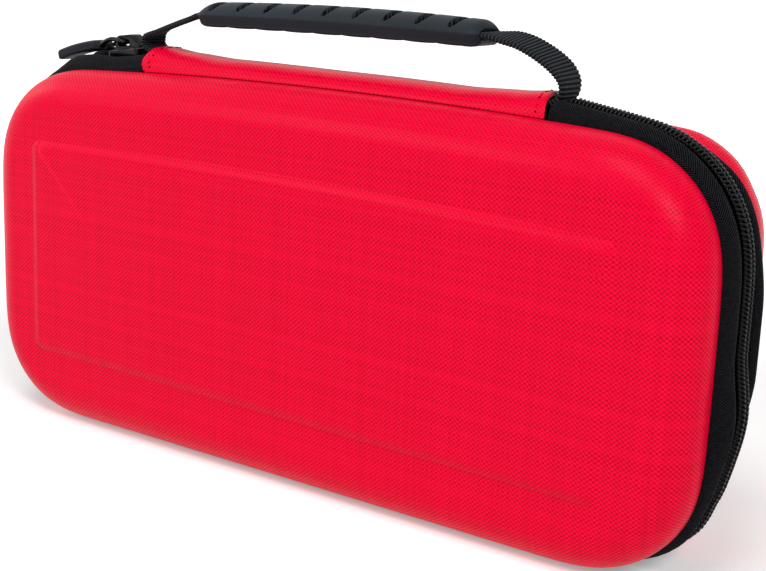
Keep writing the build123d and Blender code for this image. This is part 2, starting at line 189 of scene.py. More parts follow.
def plainWeaveGroup():
    # threads passing over and under one another; place is in metres
    group, start, end = newGroup("plainWeave", [
        ("Place", "NodeSocketVector", None), ("Pitch across", "NodeSocketFloat", 0.00084),
        ("Pitch along", "NodeSocketFloat", 0.00068), ("Unevenness", "NodeSocketFloat", 0.2)],
        [("Height", "NodeSocketFloat"), ("Check", "NodeSocketFloat"), ("Thread", "NodeSocketFloat")])
    wander = add(group, "ShaderNodeTexNoise", {"Vector": start.outputs["Place"], "Scale": 420.0, "Detail": 2.0})
    axes = add(group, "ShaderNodeSeparateXYZ", {0: start.outputs["Place"]})
    drift = calc(group, "MULTIPLY", calc(group, "SUBTRACT", wander.outputs[0], 0.5), start.outputs["Unevenness"])
    u = calc(group, "ADD", calc(group, "DIVIDE", axes.outputs[0], start.outputs["Pitch across"]), drift)
    v = calc(group, "ADD", calc(group, "DIVIDE", axes.outputs[1], start.outputs["Pitch along"]), drift)
    waveU = calc(group, "SINE", calc(group, "MULTIPLY", u, math.pi))
    waveV = calc(group, "SINE", calc(group, "MULTIPLY", v, math.pi))
    check = calc(group, "MULTIPLY_ADD", calc(group, "MULTIPLY", waveU, waveV), 0.5, 0.5)    # over 1, under 0
    domeU, domeV = calc(group, "ABSOLUTE", waveU), calc(group, "ABSOLUTE", waveV)
    warp = calc(group, "MULTIPLY", domeU, calc(group, "MULTIPLY_ADD", domeV, 0.65, 0.35))
    weft = calc(group, "MULTIPLY", domeV, calc(group, "MULTIPLY_ADD", domeU, 0.65, 0.35))
    over = calc(group, "GREATER_THAN", check, 0.5)
    rounded = add(group, "ShaderNodeMix", {0: over, 2: weft, 3: warp}).outputs[0]
    height = calc(group, "MULTIPLY_ADD", check, 0.6, calc(group, "MULTIPLY", rounded, 0.4))
    column = add(group, "ShaderNodeTexWhiteNoise", {"W": calc(group, "FLOOR", u)}, noise_dimensions="1D")
    row = add(group, "ShaderNodeTexWhiteNoise", {"W": calc(group, "ADD", calc(group, "FLOOR", v), 0.37)},
              noise_dimensions="1D")
    thread = add(group, "ShaderNodeMix", {0: over, 2: row.outputs[0], 3: column.outputs[0]}).outputs[0]
    group.links.new(height, end.inputs["Height"])
    group.links.new(check, end.inputs["Check"])
    group.links.new(thread, end.inputs["Thread"])
    return group


def twillGroup():
    # slanting ribs that turn back every few millimetres, as on woven tape
    group, start, end = newGroup("herringboneTwill", [
        ("Place", "NodeSocketVector", None), ("Rib pitch", "NodeSocketFloat", 0.0006),
        ("Band", "NodeSocketFloat", 0.0024)],
        [("Height", "NodeSocketFloat"), ("Fleck", "NodeSocketFloat")])
    axes = add(group, "ShaderNodeSeparateXYZ", {0: start.outputs["Place"]})
    fold = calc(group, "PINGPONG", axes.outputs[1], start.outputs["Band"])
    slant = calc(group, "ADD", axes.outputs[0], calc(group, "MULTIPLY", fold, 1.1))
    turn = calc(group, "DIVIDE", slant, start.outputs["Rib pitch"])
    rib = calc(group, "SINE", calc(group, "MULTIPLY", calc(group, "FRACT", turn), math.pi))
    fleck = add(group, "ShaderNodeTexNoise", {"Vector": start.outputs["Place"], "Scale": 900.0, "Detail": 2.0})
    group.links.new(rib, end.inputs["Height"])
    group.links.new(fleck.outputs[0], end.inputs["Fleck"])
    return group


def fineGrainGroup():
    group, start, end = newGroup("fineGrain", [
        ("Place", "NodeSocketVector", None), ("Grain size", "NodeSocketFloat", 0.0007),
        ("Patch size", "NodeSocketFloat", 0.012)],
        [("Height", "NodeSocketFloat"), ("Patch", "NodeSocketFloat")])
    grainScale = calc(group, "DIVIDE", 1.0, start.outputs["Grain size"])
    patchScale = calc(group, "DIVIDE", 1.0, start.outputs["Patch size"])
    grain = add(group, "ShaderNodeTexNoise",
                {"Vector": start.outputs["Place"], "Scale": grainScale, "Detail": 3.0})
    patch = add(group, "ShaderNodeTexNoise",
                {"Vector": start.outputs["Place"], "Scale": patchScale, "Detail": 3.0})
    group.links.new(grain.outputs[0], end.inputs["Height"])
    group.links.new(patch.outputs[0], end.inputs["Patch"])
    return group


weaveGroup = plainWeaveGroup()
tapeGroup = twillGroup()
grainGroup = fineGrainGroup()


def clothPlace(tree):
    return add(tree, "ShaderNodeUVMap", uv_map="cloth").outputs[0]


def tint(tree, factor, low, high):
    return add(tree, "ShaderNodeMix", {0: factor, 6: (*low, 1), 7: (*high, 1)}, data_type="RGBA").outputs[2]


def bump(tree, shader, height, strength, distance):
    node = add(tree, "ShaderNodeBump", {"Height": height, "Strength": strength, "Distance": distance})
    tree.links.new(node.outputs[0], shader.inputs["Normal"])


redCloth = {"under": (0.50, 0.0001, 0.015), "over": (0.97, 0.0008, 0.044), "pitchX": 0.775, "pitchZ": 0.665,
            "rough": (0.45, 0.29), "bump": 0.000032, "uneven": 0.3, "gloss": 0.065}


def redClothMaterial():
    material = bpy.data.materials.new("redCloth")
    tree, shader = nodeTree(material)
    weave = add(tree, "ShaderNodeGroup", node_tree=weaveGroup)
    tree.links.new(clothPlace(tree), weave.inputs["Place"])
    weave.inputs["Pitch across"].default_value = redCloth["pitchX"] * mm
    weave.inputs["Pitch along"].default_value = redCloth["pitchZ"] * mm
    weave.inputs["Unevenness"].default_value = redCloth["uneven"]
    # random tone per thread, plus darker under-threads and paler crowns: painted shade between the threads and
    # painted highlight on the crowns
    uneven = calc(tree, "SUBTRACT", weave.outputs["Thread"], 0.5)
    lively = calc(tree, "MULTIPLY_ADD", uneven, 0.3, weave.outputs["Check"])
    shade = add(tree, "ShaderNodeMapRange", {0: lively, 1: 0.05, 2: 0.8}).outputs[0]
    tree.links.new(tint(tree, shade, redCloth["under"], redCloth["over"]), shader.inputs["Base Color"])
    rough = add(tree, "ShaderNodeMapRange", {0: weave.outputs["Check"], 3: redCloth["rough"][0],
                                             4: redCloth["rough"][1]})
    tree.links.new(rough.outputs[0], shader.inputs["Roughness"])
    bump(tree, shader, weave.outputs["Height"], 0.9, redCloth["bump"])
    shader.inputs["Specular IOR Level"].default_value = redCloth["gloss"]
    return material


zipCloth = {"dark": (0.0001, 0.0001, 0.0002), "light": (0.03, 0.031, 0.038), "ribPitch": 0.8, "band": 3.4,
            "gloss": 0.032}


def zipTapeMaterial():
    material = bpy.data.materials.new("zipTape")
    tree, shader = nodeTree(material)
    twill = add(tree, "ShaderNodeGroup", node_tree=tapeGroup)
    tree.links.new(clothPlace(tree), twill.inputs["Place"])
    twill.inputs["Rib pitch"].default_value = zipCloth["ribPitch"] * mm
    twill.inputs["Band"].default_value = zipCloth["band"] * mm
    # rib crests lighter and the furrows near black: painted highlight on the ribs, with random fleck tone
    crest = calc(tree, "POWER", twill.outputs["Height"], 4.0)
    shade = calc(tree, "MULTIPLY", crest, calc(tree, "MULTIPLY_ADD", twill.outputs["Fleck"], 1.6, -0.2))
    tree.links.new(tint(tree, shade, zipCloth["dark"], zipCloth["light"]), shader.inputs["Base Color"])
    rough = add(tree, "ShaderNodeMapRange", {0: twill.outputs["Height"], 3: 0.85, 4: 0.42})
    tree.links.new(rough.outputs[0], shader.inputs["Roughness"])
    bump(tree, shader, twill.outputs["Height"], 1.0, 0.0003)
    shader.inputs["Specular IOR Level"].default_value = zipCloth["gloss"]
    return material


def grainMaterial(name, dark, light, rough, grain, patch, depth, gloss):
    material = bpy.data.materials.new(name)
    tree, shader = nodeTree(material)
    place = add(tree, "ShaderNodeTexCoord").outputs["Object"]
    made = add(tree, "ShaderNodeGroup", node_tree=grainGroup)
    tree.links.new(place, made.inputs["Place"])
    made.inputs["Grain size"].default_value = grain * mm
    made.inputs["Patch size"].default_value = patch * mm
    tree.links.new(tint(tree, made.outputs["Patch"], dark, light), shader.inputs["Base Color"])
    span = add(tree, "ShaderNodeMapRange", {0: made.outputs["Patch"], 1: 0.3, 2: 0.7, 3: rough[0], 4: rough[1]})
    tree.links.new(span.outputs[0], shader.inputs["Roughness"])
    bump(tree, shader, made.outputs["Height"], 0.4, depth)
    shader.inputs["Specular IOR Level"].default_value = gloss
    return material


def ribbedMaterial(name, dark, light, pitch, along):
    # woven band: cross ribs, each of short fine threads along the band; rib crests and fibre tops are painted
    # lighter and the gaps darker
    material = bpy.data.materials.new(name)
    tree, shader = nodeTree(material)
    axes = add(tree, "ShaderNodeSeparateXYZ", {0: clothPlace(tree)})
    turn = calc(tree, "DIVIDE", axes.outputs[0], pitch * mm)
    rib = calc(tree, "SINE", calc(tree, "MULTIPLY", calc(tree, "FRACT", turn), math.pi))
    weave = add(tree, "ShaderNodeGroup", node_tree=weaveGroup)
    tree.links.new(clothPlace(tree), weave.inputs["Place"])
    weave.inputs["Pitch across"].default_value = pitch * mm
    weave.inputs["Pitch along"].default_value = along * mm
    weave.inputs["Unevenness"].default_value = 0.1
    fibre = calc(tree, "MULTIPLY_ADD", weave.outputs["Height"], 0.7, 0.3)
    # lighter rib crests and fibre tops, darker gaps: painted highlight and painted shade on the ribs
    shade = calc(tree, "MULTIPLY", calc(tree, "POWER", rib, 1.6), fibre)
    tree.links.new(tint(tree, shade, dark, light), shader.inputs["Base Color"])
    rough = add(tree, "ShaderNodeMapRange", {0: shade, 3: 0.85, 4: 0.42})
    tree.links.new(rough.outputs[0], shader.inputs["Roughness"])
    bump(tree, shader, shade, 1.0, 0.00024)
    shader.inputs["Specular IOR Level"].default_value = 0.1
    return material


def meshMaterial():
    # open knit: round holes in staggered rows
    material = bpy.data.materials.new("meshCloth")
    tree, shader = nodeTree(material)
    axes = add(tree, "ShaderNodeSeparateXYZ", {0: clothPlace(tree)})
    row = calc(tree, "DIVIDE", axes.outputs[1], 0.0014)
    shift = calc(tree, "MULTIPLY", calc(tree, "FLOORED_MODULO", calc(tree, "FLOOR", row), 2.0), 0.5)
    u = calc(tree, "SUBTRACT", calc(tree, "FRACT", calc(tree, "ADD", calc(tree, "DIVIDE", axes.outputs[0], 0.0018),
                                                        shift)), 0.5)
    v = calc(tree, "SUBTRACT", calc(tree, "FRACT", row), 0.5)
    reach = calc(tree, "SQRT", calc(tree, "ADD", calc(tree, "MULTIPLY", u, u), calc(tree, "MULTIPLY", v, v)))
    solid = add(tree, "ShaderNodeMapRange", {0: reach, 1: 0.3, 2: 0.36})
    tree.links.new(solid.outputs[0], shader.inputs["Alpha"])
    strand = add(tree, "ShaderNodeTexNoise", {"Vector": clothPlace(tree), "Scale": 1600.0, "Detail": 2.0})
    tree.links.new(tint(tree, strand.outputs[0], (0.008, 0.008, 0.009), (0.035, 0.035, 0.038)),
                   shader.inputs["Base Color"])
    shader.inputs["Roughness"].default_value = 0.7
    bump(tree, shader, strand.outputs[0], 0.4, 0.0002)
    return material


redClothLook = redClothMaterial()
zipTapeLook = zipTapeMaterial()
coilLook = grainMaterial("zipCoil", (0.0006, 0.0006, 0.0009), (0.002, 0.002, 0.0028),
                         (0.2, 0.28), 0.5, 6.0, 0.00002, gloss=0.1)
zipThreadLook = grainMaterial("zipThread", (0.008, 0.008, 0.009), (0.022, 0.023, 0.025),
                              (0.5, 0.65), 0.3, 3.0, 0.00003, gloss=0.2)
# dark red seam stitches: painted contact shadow where the spine meets the shells
seamShadeLook = grainMaterial("seamShade", (0.16, 0.0006, 0.008), (0.34, 0.001, 0.016),
                               (0.55, 0.7), 0.3, 3.0, 0.00003, gloss=0.05)
redThreadLook = grainMaterial("redThread", (0.6, 0.0008, 0.02), (0.86, 0.002, 0.04),
                              (0.55, 0.7), 0.3, 3.0, 0.00003, gloss=0.05)
# near-black dots for the needle holes: painted shade in the holes
stitchHoleShadeLook = grainMaterial("stitchHoleShade", (0.02, 0.0003, 0.001), (0.05, 0.0006, 0.003),
                               (0.85, 0.95), 0.4, 3.0, 0.00002, gloss=0.02)
liningLook = grainMaterial("softLining", (0.012, 0.012, 0.013), (0.026, 0.026, 0.028),
                           (0.8, 0.92), 0.45, 5.0, 0.0002, gloss=0.1)
webbingLook = ribbedMaterial("handleWebbing", (0.0006, 0.0007, 0.001), (0.034, 0.04, 0.048), 1.15, 0.55)
elasticLook = ribbedMaterial("holdElastic", (0.004, 0.004, 0.005), (0.045, 0.045, 0.048), 0.9, 0.5)
gripLook = grainMaterial("gripRubber", (0.0095, 0.0135, 0.018), (0.015, 0.0205, 0.0265),
                         (0.4, 0.5), 0.35, 9.0, 0.00003, gloss=0.11)
# near-black slot material: painted shade in the grip's slots and inside its mouths
gripSlotShadeLook = grainMaterial("gripSlotShade", (0.0008, 0.001, 0.0013), (0.0016, 0.0019, 0.0024),
                             (0.7, 0.85), 0.35, 5.0, 0.00003, gloss=0.03)
sliderLook = grainMaterial("sliderPaint", (0.001, 0.0011, 0.0014), (0.002, 0.0022, 0.0028),
                           (0.17, 0.25), 0.9, 5.0, 0.00001, gloss=0.2)
pullLook = grainMaterial("pullPlastic", (0.006, 0.0074, 0.0105), (0.011, 0.0132, 0.018),
                         (0.4, 0.52), 0.5, 6.0, 0.00002, gloss=0.11)
meshLook = meshMaterial()
print("materials done")


# outlines shared by the shells, the zip and the pocket

loopSteps = {"top": 64, "corner": 16, "side": 12, "bottom": 64, "ease": 8}


def caseLoop(inset, foot=0.0):
    # closed, clockwise from the left end of the top edge: x, z and the outward direction
    n, k, m, b = loopSteps["top"], loopSteps["corner"], loopSteps["side"], loopSteps["bottom"]
    c = cornerR - inset
    low = cornerR + foot
    loop = []
    for i in range(n):
        a = mixed(math.pi - cornerTurn, cornerTurn, i / n)
        loop.append(((topR - inset) * math.cos(a), topCentreZ + (topR - inset) * math.sin(a),
                     math.cos(a), math.sin(a)))
    half = []
    for i in range(k):
        a = mixed(cornerTurn, 0.0, i / k)
        half.append((cornerX + c * math.cos(a), topCornerZ + c * math.sin(a), math.cos(a), math.sin(a)))
    for i in range(m):
        half.append((cornerX + c, mixed(topCornerZ, low, i / m), 1.0, 0.0))
    for i in range(k + 1):
        a = mixed(0.0, -math.pi / 2, i / k)
        half.append((cornerX + c * math.cos(a), low + c * math.sin(a), math.cos(a), math.sin(a)))
    loop += half
    for i in range(1, b):
        loop.append((mixed(cornerX, -cornerX, i / b), low - c, 0.0, -1.0))
    loop += [(-x, z, -nx, nz) for x, z, nx, nz in reversed(half)]
    for i in range(loopSteps["ease"]):
        # bends ease into the straight runs
        loop = [tuple(0.25 * (u + w) + 0.5 * v for u, v, w in zip(*three))
                for three in zip(loop[-1:] + loop[:-1], loop, loop[1:] + loop[:1])]
    return [(x, z, nx / math.hypot(nx, nz), nz / math.hypot(nx, nz)) for x, z, nx, nz in loop]


panelShape = {"half": 107.2, "head": 98.0, "foot": 23.8, "bow": 2.3, "tilt": -0.6, "radius": 4.0, "rise": 1.5,
              "shoulder": 4.0}


def panelLoop(grow):
    # same count of points as caseLoop; the top edge is bowed and the whole sits slightly out of square
    n, k, m, b = loopSteps["top"], loopSteps["corner"], loopSteps["side"], loopSteps["bottom"]
    p = panelShape
    hx, low = p["half"] + grow, p["foot"] - grow
    r = max(0.6, p["radius"] + grow)
    lean = 2 * p["bow"] / p["half"]
    reach = hx - r + r * math.sin(lean)

    def head(x):
        return p["head"] + grow - p["bow"] * (x / p["half"])**2

    high = head(reach) - r * math.cos(lean)
    loop = [(x, head(x)) for x in (mixed(-reach, reach, i / n) for i in range(n))]
    half = []
    for i in range(k):
        a = mixed(math.pi / 2 - lean, 0.0, i / k)
        half.append((hx - r + r * math.cos(a), high + r * math.sin(a)))
    for i in range(m):
        half.append((hx, mixed(high, low + r, i / m)))
    for i in range(k + 1):
        a = mixed(0.0, -math.pi / 2, i / k)
        half.append((hx - r + r * math.cos(a), low + r + r * math.sin(a)))
    loop += half
    loop += [(mixed(hx - r, r - hx, i / b), low) for i in range(1, b)]
    loop += [(-x, z) for x, z in reversed(half)]
    t, mid = math.radians(p["tilt"]), (p["head"] + p["foot"]) / 2
    return [(x * math.cos(t) - (z - mid) * math.sin(t), mid + x * math.sin(t) + (z - mid) * math.cos(t))
            for x, z in loop]


shellShape = {"frontDepth": 14.5, "rearDepth": 24.0, "edgeR": 13.0, "wall": 4.0, "rimLand": 6.4, "landDepth": 6.0,
              "rearDraft": 0.2, "rearLean": 0.022, "rearSwell": 0.9}


def roundedEdge(depth, panel):
    # inset and depth from the face to the rim, with the length run; the rear shell draws in over its whole depth
    r, points = shellShape["edgeR"], []
    for i in range(19):
        a = math.pi / 2 * (1 - i / 18)
        if panel:
            points.append((r - r * math.cos(a), depth - r + r * math.sin(a)))
        else:
            points.append((r - r * math.cos(a) + shellShape["rearDraft"] * math.sin(a), depth * math.sin(a)))
    if panel:
        points += [(0.0, (depth - r) * k) for k in (0.5, 0.08)]
    else:
        points = points[:-1] + [(0.03, 0.45)]
    run, out = 0.0, []
    for i, (inset, d) in enumerate(points):
        if i:
            run += math.hypot(inset - points[i - 1][0], d - points[i - 1][1])
        out.append((inset, d, run))
    return out


def shellPiece(name, sign, depth, panel):
    r, wall, land = shellShape["edgeR"], shellShape["wall"], shellShape["rimLand"]
    rings, uvs, mats = [], [], []

    def y(d):
        return zipY + sign * (rimHalf + d)

    def keep(ring, uv, mat):
        rings.append(ring)
        uvs.append(uv + uv[:1])
        mats.append(mat)

    def flatRing(points, d, mat):
        keep([(x, y(d), z) for x, z in points], [(x, z) for x, z in points], mat)

    edge = roundedEdge(depth, panel)
    faceLoop = caseLoop(edge[0][0])
    facePoints = [(p[0], p[1]) for p in faceLoop]
    if panel:
        rise, shoulder = panelShape["rise"], panelShape["shoulder"]
        for grow in (-30.0, -16.0, -shoulder - 3.0, -shoulder - 0.6):
            flatRing(panelLoop(grow), depth + rise, 0)
        for i in range(11):
            t = 1 - i / 10
            flatRing(panelLoop(-shoulder * t), depth + rise * (1 - (1 - t)**2.0), 0)
        crease = panelLoop(0.12)
        flatRing(crease, depth, 0)
        for k in (0.12, 0.35, 0.65, 0.9):
            flatRing([(mixed(a[0], b[0], k), mixed(a[1], b[1], k)) for a, b in zip(crease, facePoints)], depth, 0)
    else:
        for inset in (50.0, 36.0, 22.0, 15.0):
            loop = caseLoop(min(inset, 32.0))
            k = max(0.0, inset - 32.0) / 60
            flatRing([(p[0] * (1 - k), mixed(p[1], 61.0, k)) for p in loop], depth, 0)

    def outline(x, z, nx, nz, d):
        if panel:
            return x, y(d), z
        swell = shellShape["rearSwell"] * eased((z - 78) / 22)
        swell += 0.8 * eased((z - 102) / 9) * eased((abs(x) - 98) / 12)
        swell *= eased(d / 6) * eased((abs(x) - 82) / 26)
        lean = shellShape["rearLean"] * d / depth * (1 - z / caseShape["height"])
        return x * (1 - lean) + nx * swell, y(d), z + nz * swell

    for inset, d, out in edge:
        keep([outline(*place, d) for place in caseLoop(inset)],
             [(x + nx * out, z + nz * out) for x, z, nx, nz in faceLoop], 0)
    for inset, d in ((0.12, 0.12), (0.5, 0.0)):
        out += 0.3
        keep([(x, y(d), z) for x, z, nx, nz in caseLoop(inset)],
             [(x + nx * out, z + nz * out) for x, z, nx, nz in faceLoop], 0 if d else 1)
    landDepth = shellShape["landDepth"]
    inner = [(land - 0.5, 0.0), (land, 0.5), (land, landDepth - 0.4), (wall + 0.3, landDepth + 0.3)]
    floor, ri = depth - wall, r - wall
    if floor - ri > landDepth + 1:
        inner += [(wall, floor - ri)]
        steps = [i / 8 for i in range(1, 9)]
    else:
        steps = [mixed(0.62, 1.0, i / 8) for i in range(9)]
    inner += [(r - ri * math.cos(k * math.pi / 2), floor - ri + ri * math.sin(k * math.pi / 2)) for k in steps]
    for inset, d in inner:
        loop = caseLoop(inset)
        keep([(p[0], y(d), p[1]) for p in loop], [(p[0], p[1]) for p in loop], 1)
    for inset in (22.0, 32.0):
        loop = caseLoop(inset)
        keep([(p[0], y(floor), p[1]) for p in loop], [(p[0], p[1]) for p in loop], 1)
    return loftPiece(name, rings, uvs, mats, (redClothLook, liningLook))


frontShell = shellPiece("frontShell", -1, shellShape["frontDepth"], True)
rearShell = shellPiece("rearShell", 1, shellShape["rearDepth"], False)
for piece, body, node in ((frontShell, "lid", "front_shell"), (rearShell, "rear", "rear_shell")):
    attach(piece, body)
    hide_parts(node)
print("shells done")


# zip: tape and coil run from one end of the spine round the case to the other

zipShape = {"tape": 1.1, "flat": 5.6, "rollHalf": 7.9, "rollCrest": 3.7, "rearHalf": 7.2, "rearCrest": 3.3,
            "bow": (1.9, 1.5), "seat": -0.4, "slit": 0.2, "footLift": 4.3,
            "spineLeft": -70.0, "spineRight": 77.0, "leftRamp": 2.4, "rightRamp": 2.0, "endX": 96.5}


def zipLift(x):
    end = zipShape["endX"]
    stop, ramp = (zipShape["spineLeft"] - 0.5, zipShape["leftRamp"]) if x < 0 else (zipShape["spineRight"] + 0.5,
                                                                                    zipShape["rightRamp"])
    k = (abs(x) - end) / (abs(stop) - end)
    return max(0.0, mixed(topZ(end), topZ(stop) + ramp, k) - topZ(x))


def zipBulge(x, z):
    # outward bow of the closed zip at the lower right
    side, corner = zipShape["bow"]
    bow = side * eased((66 - z) / 18) * (1 - eased((48 - z) / 18)) + corner * eased((24 - z) / 9)
    return bow * eased((x - 98) / 22)


def zipRoute(fromRight, toLeft, step=1.5):
    # x, z, outward direction, lift; from the right end of the spine, under the case, to its left end
    route = []
    count = int((cornerX - fromRight) / step) + 1
    for i in range(count):
        x = mixed(fromRight, cornerX, i / count)
        route.append((x, topZ(x), 0.0, 1.0, zipLift(x)))
    loop = caseLoop(0.0, zipShape["footLift"])
    run = loop[loopSteps["top"]:]
    fine = []
    for a, b in zip(run, run[1:]):
        parts = max(1, int(math.hypot(b[0] - a[0], b[1] - a[1]) / step))
        for j in range(parts):
            spot = tuple(mixed(p, q, j / parts) for p, q in zip(a, b))
            fine.append(spot + (zipBulge(*spot[:2]),))
    fine.append(run[-1] + (0.0,))
    route += fine
    count = int((cornerX + toLeft) / step) + 1
    for i in range(1, count + 1):
        x = mixed(-cornerX, toLeft, i / count)
        route.append((x, topZ(x), 0.0, 1.0, zipLift(x)))
    return route


def tapeCrest(side, x, z, toEnd):
    # how far each tape's roll stands out at a place along the zip
    upper = eased((z - 96) / 12)
    if side > 0:
        crest = zipShape["rollCrest"] - 0.4 * upper * eased((-x - 68) / 6) * (1 - eased((-x - 89) / 6))
        crest += upper * (1.2 * eased((-x - 84) / 10) * (1 - eased((-x - 101) / 9)) - 0.9 * eased((-x - 104) / 9))
    else:
        crest = zipShape["rearCrest"] + 3.6 * upper * eased((-x - 72) / 12) * (1 - eased((-x - 107) / 12))
        if x > 0:
            # full at half height, slack above and below
            crest += 1.3 * eased((94 - z) / 18) * eased((z - 52) / 14)
            crest -= 2.6 * eased((58 - z) / 16) + 2.2 * eased((z - 105) / 14)
    return mixed(crest, zipShape["slit"] + zipShape["tape"] + 0.3, max(0.0, 1 - toEnd / 2.5)**2 * 0.6)


def tapeProfile(lift, side, crest):
    z = zipShape
    low = z["slit"] + lift
    half = z["rollHalf"] if side > 0 else z["rearHalf"]
    flat, high = z["flat"] - (0.0 if side > 0 else 0.5), low + z["tape"]
    crest = max(crest, z["slit"] + z["tape"]) + lift
    near, far, swell = half - flat, rimHalf - half, crest - high
    outer = [(flat - 0.6, high), (flat, high + 0.05 * swell), (flat + 0.4 * near, high + 0.72 * swell),
             (half, crest),
             (half + 0.58 * far, 0.7 * crest), (half + 0.86 * far, 0.34 * crest), (rimHalf, z["seat"])]
    inner = [(rimHalf, z["seat"] - 1.35 * z["tape"]), (half + 0.42 * far, 0.34 * crest - 0.33),
             (half - 0.33, crest - z["tape"]), (flat + 0.4, low)]
    bend = [(p.x, p.y) for p in curveThrough([(u, h, 0) for u, h in outer], 22)[0]]
    back = [(p.x, p.y) for p in curveThrough([(u, h, 0) for u, h in inner], 10)[0]]
    return [(z["slit"], low), (z["slit"], high), (2.4, high), (3.4, high)] + bend + back


def zipTapePiece(name, side):
    route = zipRoute(zipShape["spineRight"] + 0.2, zipShape["spineLeft"] - 0.2)
    rings, uvs, s, last = [], [], 0.0, None
    for x, z, nx, nz, lift in route:
        if last:
            s += math.hypot(x - last[0], z - last[1])
        last = (x, z)
        toEnd = min(math.hypot(x - e[0], z - e[1]) for e in (route[0], route[-1]))
        profile = tapeProfile(lift, side, tapeCrest(side, x, z, toEnd))
        rings.append([(x + nx * h, zipY - side * u, z + nz * h) for u, h in profile])
        v, row = 0.0, [(s, 0.0)]
        for a, b in zip(profile, profile[1:] + profile[:1]):
            v += math.hypot(b[0] - a[0], b[1] - a[1])
            row.append((s, v))
        uvs.append(row)
    return loftPiece(name, rings, uvs, None, (zipTapeLook,))


frontTape = zipTapePiece("frontZipTape", 1)
rearTape = zipTapePiece("rearZipTape", -1)
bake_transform(frontTape)
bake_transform(rearTape)
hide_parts("front_zip_tape", "left_tape_ends", "right_tape_ends")
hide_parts("rear_zip_tape")

coilShape = {"pitch": 1.2, "wire": 0.45, "half": 2.8, "crest": 3.95, "slant": 0.8, "cord": 1.05,
             "startX": 79.5, "stopX": -78.5, "threadAt": 3.3, "threadLength": 0.75, "threadR": 0.15}


def coilTooth(side):
    # one bend of the coil: X along the zip, Y across it, Z outwards
    h = coilShape["half"] - coilShape["wire"]
    top, slant = coilShape["crest"] - coilShape["wire"], coilShape["slant"]
    line = [(-slant, h - 0.1, 1.4), (-slant, h, 2.3), (-0.6 * slant, h * 0.78, top - 0.2),
            (0.1 * slant, h * 0.45, top),
            (0.8 * slant, h * 0.14, top - 0.3), (slant, 0.0, top - 1.0)]
    sizes = [0.8, 1.0, 1.0, 1.0, 1.0, 0.7]
    rings = []
    for i, (p, size) in enumerate(zip(line, sizes)):
        a, b = Vector(line[max(0, i - 1)]), Vector(line[min(len(line) - 1, i + 1)])
        t = (b - a).normalized()
        e1 = Vector((1, 0, 0)).cross(t).normalized()
        e2 = t.cross(e1)
        w = coilShape["wire"] * size
        rings.append([tuple(Vector(p) + w * (math.cos(q) * e1 + math.sin(q) * e2))
                      for q in (k * math.pi / 3 for k in range(6))])
    rings = [[(x, -side * y, z) for x, y, z in ring] for ring in rings]
    return loftPiece("coilTooth", rings, None, None, (coilLook,))


def threadStitch(name, length, radius, look):
    # short round-ended stitch lying along X
    rings = []
    for k in (-1.0, -0.86, -0.5, 0.0, 0.5, 0.86, 1.0):
        w = radius * max(0.25, math.sqrt(max(0.0, 1 - k**4)))
        rings.append([(k * length / 2, w * math.cos(q), w * math.sin(q))
                      for q in (j * math.pi / 3 for j in range(6))])
    return loftPiece(name, rings, None, None, (look,))


def coilTree():
    tree = bpy.data.node_groups.new("coilAlongRoute", "GeometryNodeTree")
    face = tree.interface
    face.new_socket(name="Route", in_out="INPUT", socket_type="NodeSocketGeometry")
    face.new_socket(name="Tooth", in_out="INPUT", socket_type="NodeSocketObject")
    face.new_socket(name="Pitch", in_out="INPUT", socket_type="NodeSocketFloat")
    face.new_socket(name="Start", in_out="INPUT", socket_type="NodeSocketFloat")
    face.new_socket(name="Finish", in_out="INPUT", socket_type="NodeSocketMaterial")
    face.new_socket(name="Coil", in_out="OUTPUT", socket_type="NodeSocketGeometry")
    start, end = tree.nodes.new("NodeGroupInput"), tree.nodes.new("NodeGroupOutput")
    curve = add(tree, "GeometryNodeMeshToCurve", {0: start.outputs["Route"]})
    trim = add(tree, "GeometryNodeTrimCurve", {0: curve.outputs[0]}, mode="LENGTH")
    lengths = [s for s in trim.inputs if s.enabled and s.type == "VALUE"]
    total = add(tree, "GeometryNodeCurveLength", {0: curve.outputs[0]})
    tree.links.new(start.outputs["Start"], lengths[0])
    tree.links.new(total.outputs[0], lengths[1])
    evenly = add(tree, "GeometryNodeResampleCurve", {0: trim.outputs[0]}, mode="LENGTH")
    tree.links.new(start.outputs["Pitch"], evenly.inputs["Length"])
    tangent = tree.nodes.new("GeometryNodeInputTangent")
    along = add(tree, "FunctionNodeAlignRotationToVector", {"Vector": tangent.outputs[0]}, axis="X")
    across = add(tree, "FunctionNodeAlignRotationToVector", {"Rotation": along.outputs[0], "Vector": (0, 1, 0)},
                 axis="Y", pivot_axis="X")
    tooth = add(tree, "GeometryNodeObjectInfo", {"Object": start.outputs["Tooth"]})
    spread = add(tree, "GeometryNodeInstanceOnPoints", {
        "Points": evenly.outputs[0], "Instance": tooth.outputs["Geometry"], "Rotation": across.outputs[0]})
    real = add(tree, "GeometryNodeRealizeInstances", {0: spread.outputs[0]})
    painted = add(tree, "GeometryNodeSetMaterial",
                  {"Geometry": real.outputs[0], "Material": start.outputs["Finish"]})
    tree.links.new(painted.outputs[0], end.inputs[0])
    return tree


def setInputs(modifier, values):
    for item in modifier.node_group.interface.items_tree:
        if item.in_out == "INPUT" and item.name in values:
            modifier[item.identifier] = values[item.name]


def plainResult(obj, name):
    # the evaluated result as a plain mesh of its own
    bpy.context.view_layer.update()
    mesh = bpy.data.meshes.new_from_object(obj.evaluated_get(bpy.context.evaluated_depsgraph_get()))
    mesh.name = name
    made = bpy.data.objects.new(name, mesh)
    bpy.context.scene.collection.objects.link(made)
    bpy.data.objects.remove(obj)
    mesh.polygons.foreach_set("use_smooth", [True] * len(mesh.polygons))
    return made


coilNodes = coilTree()


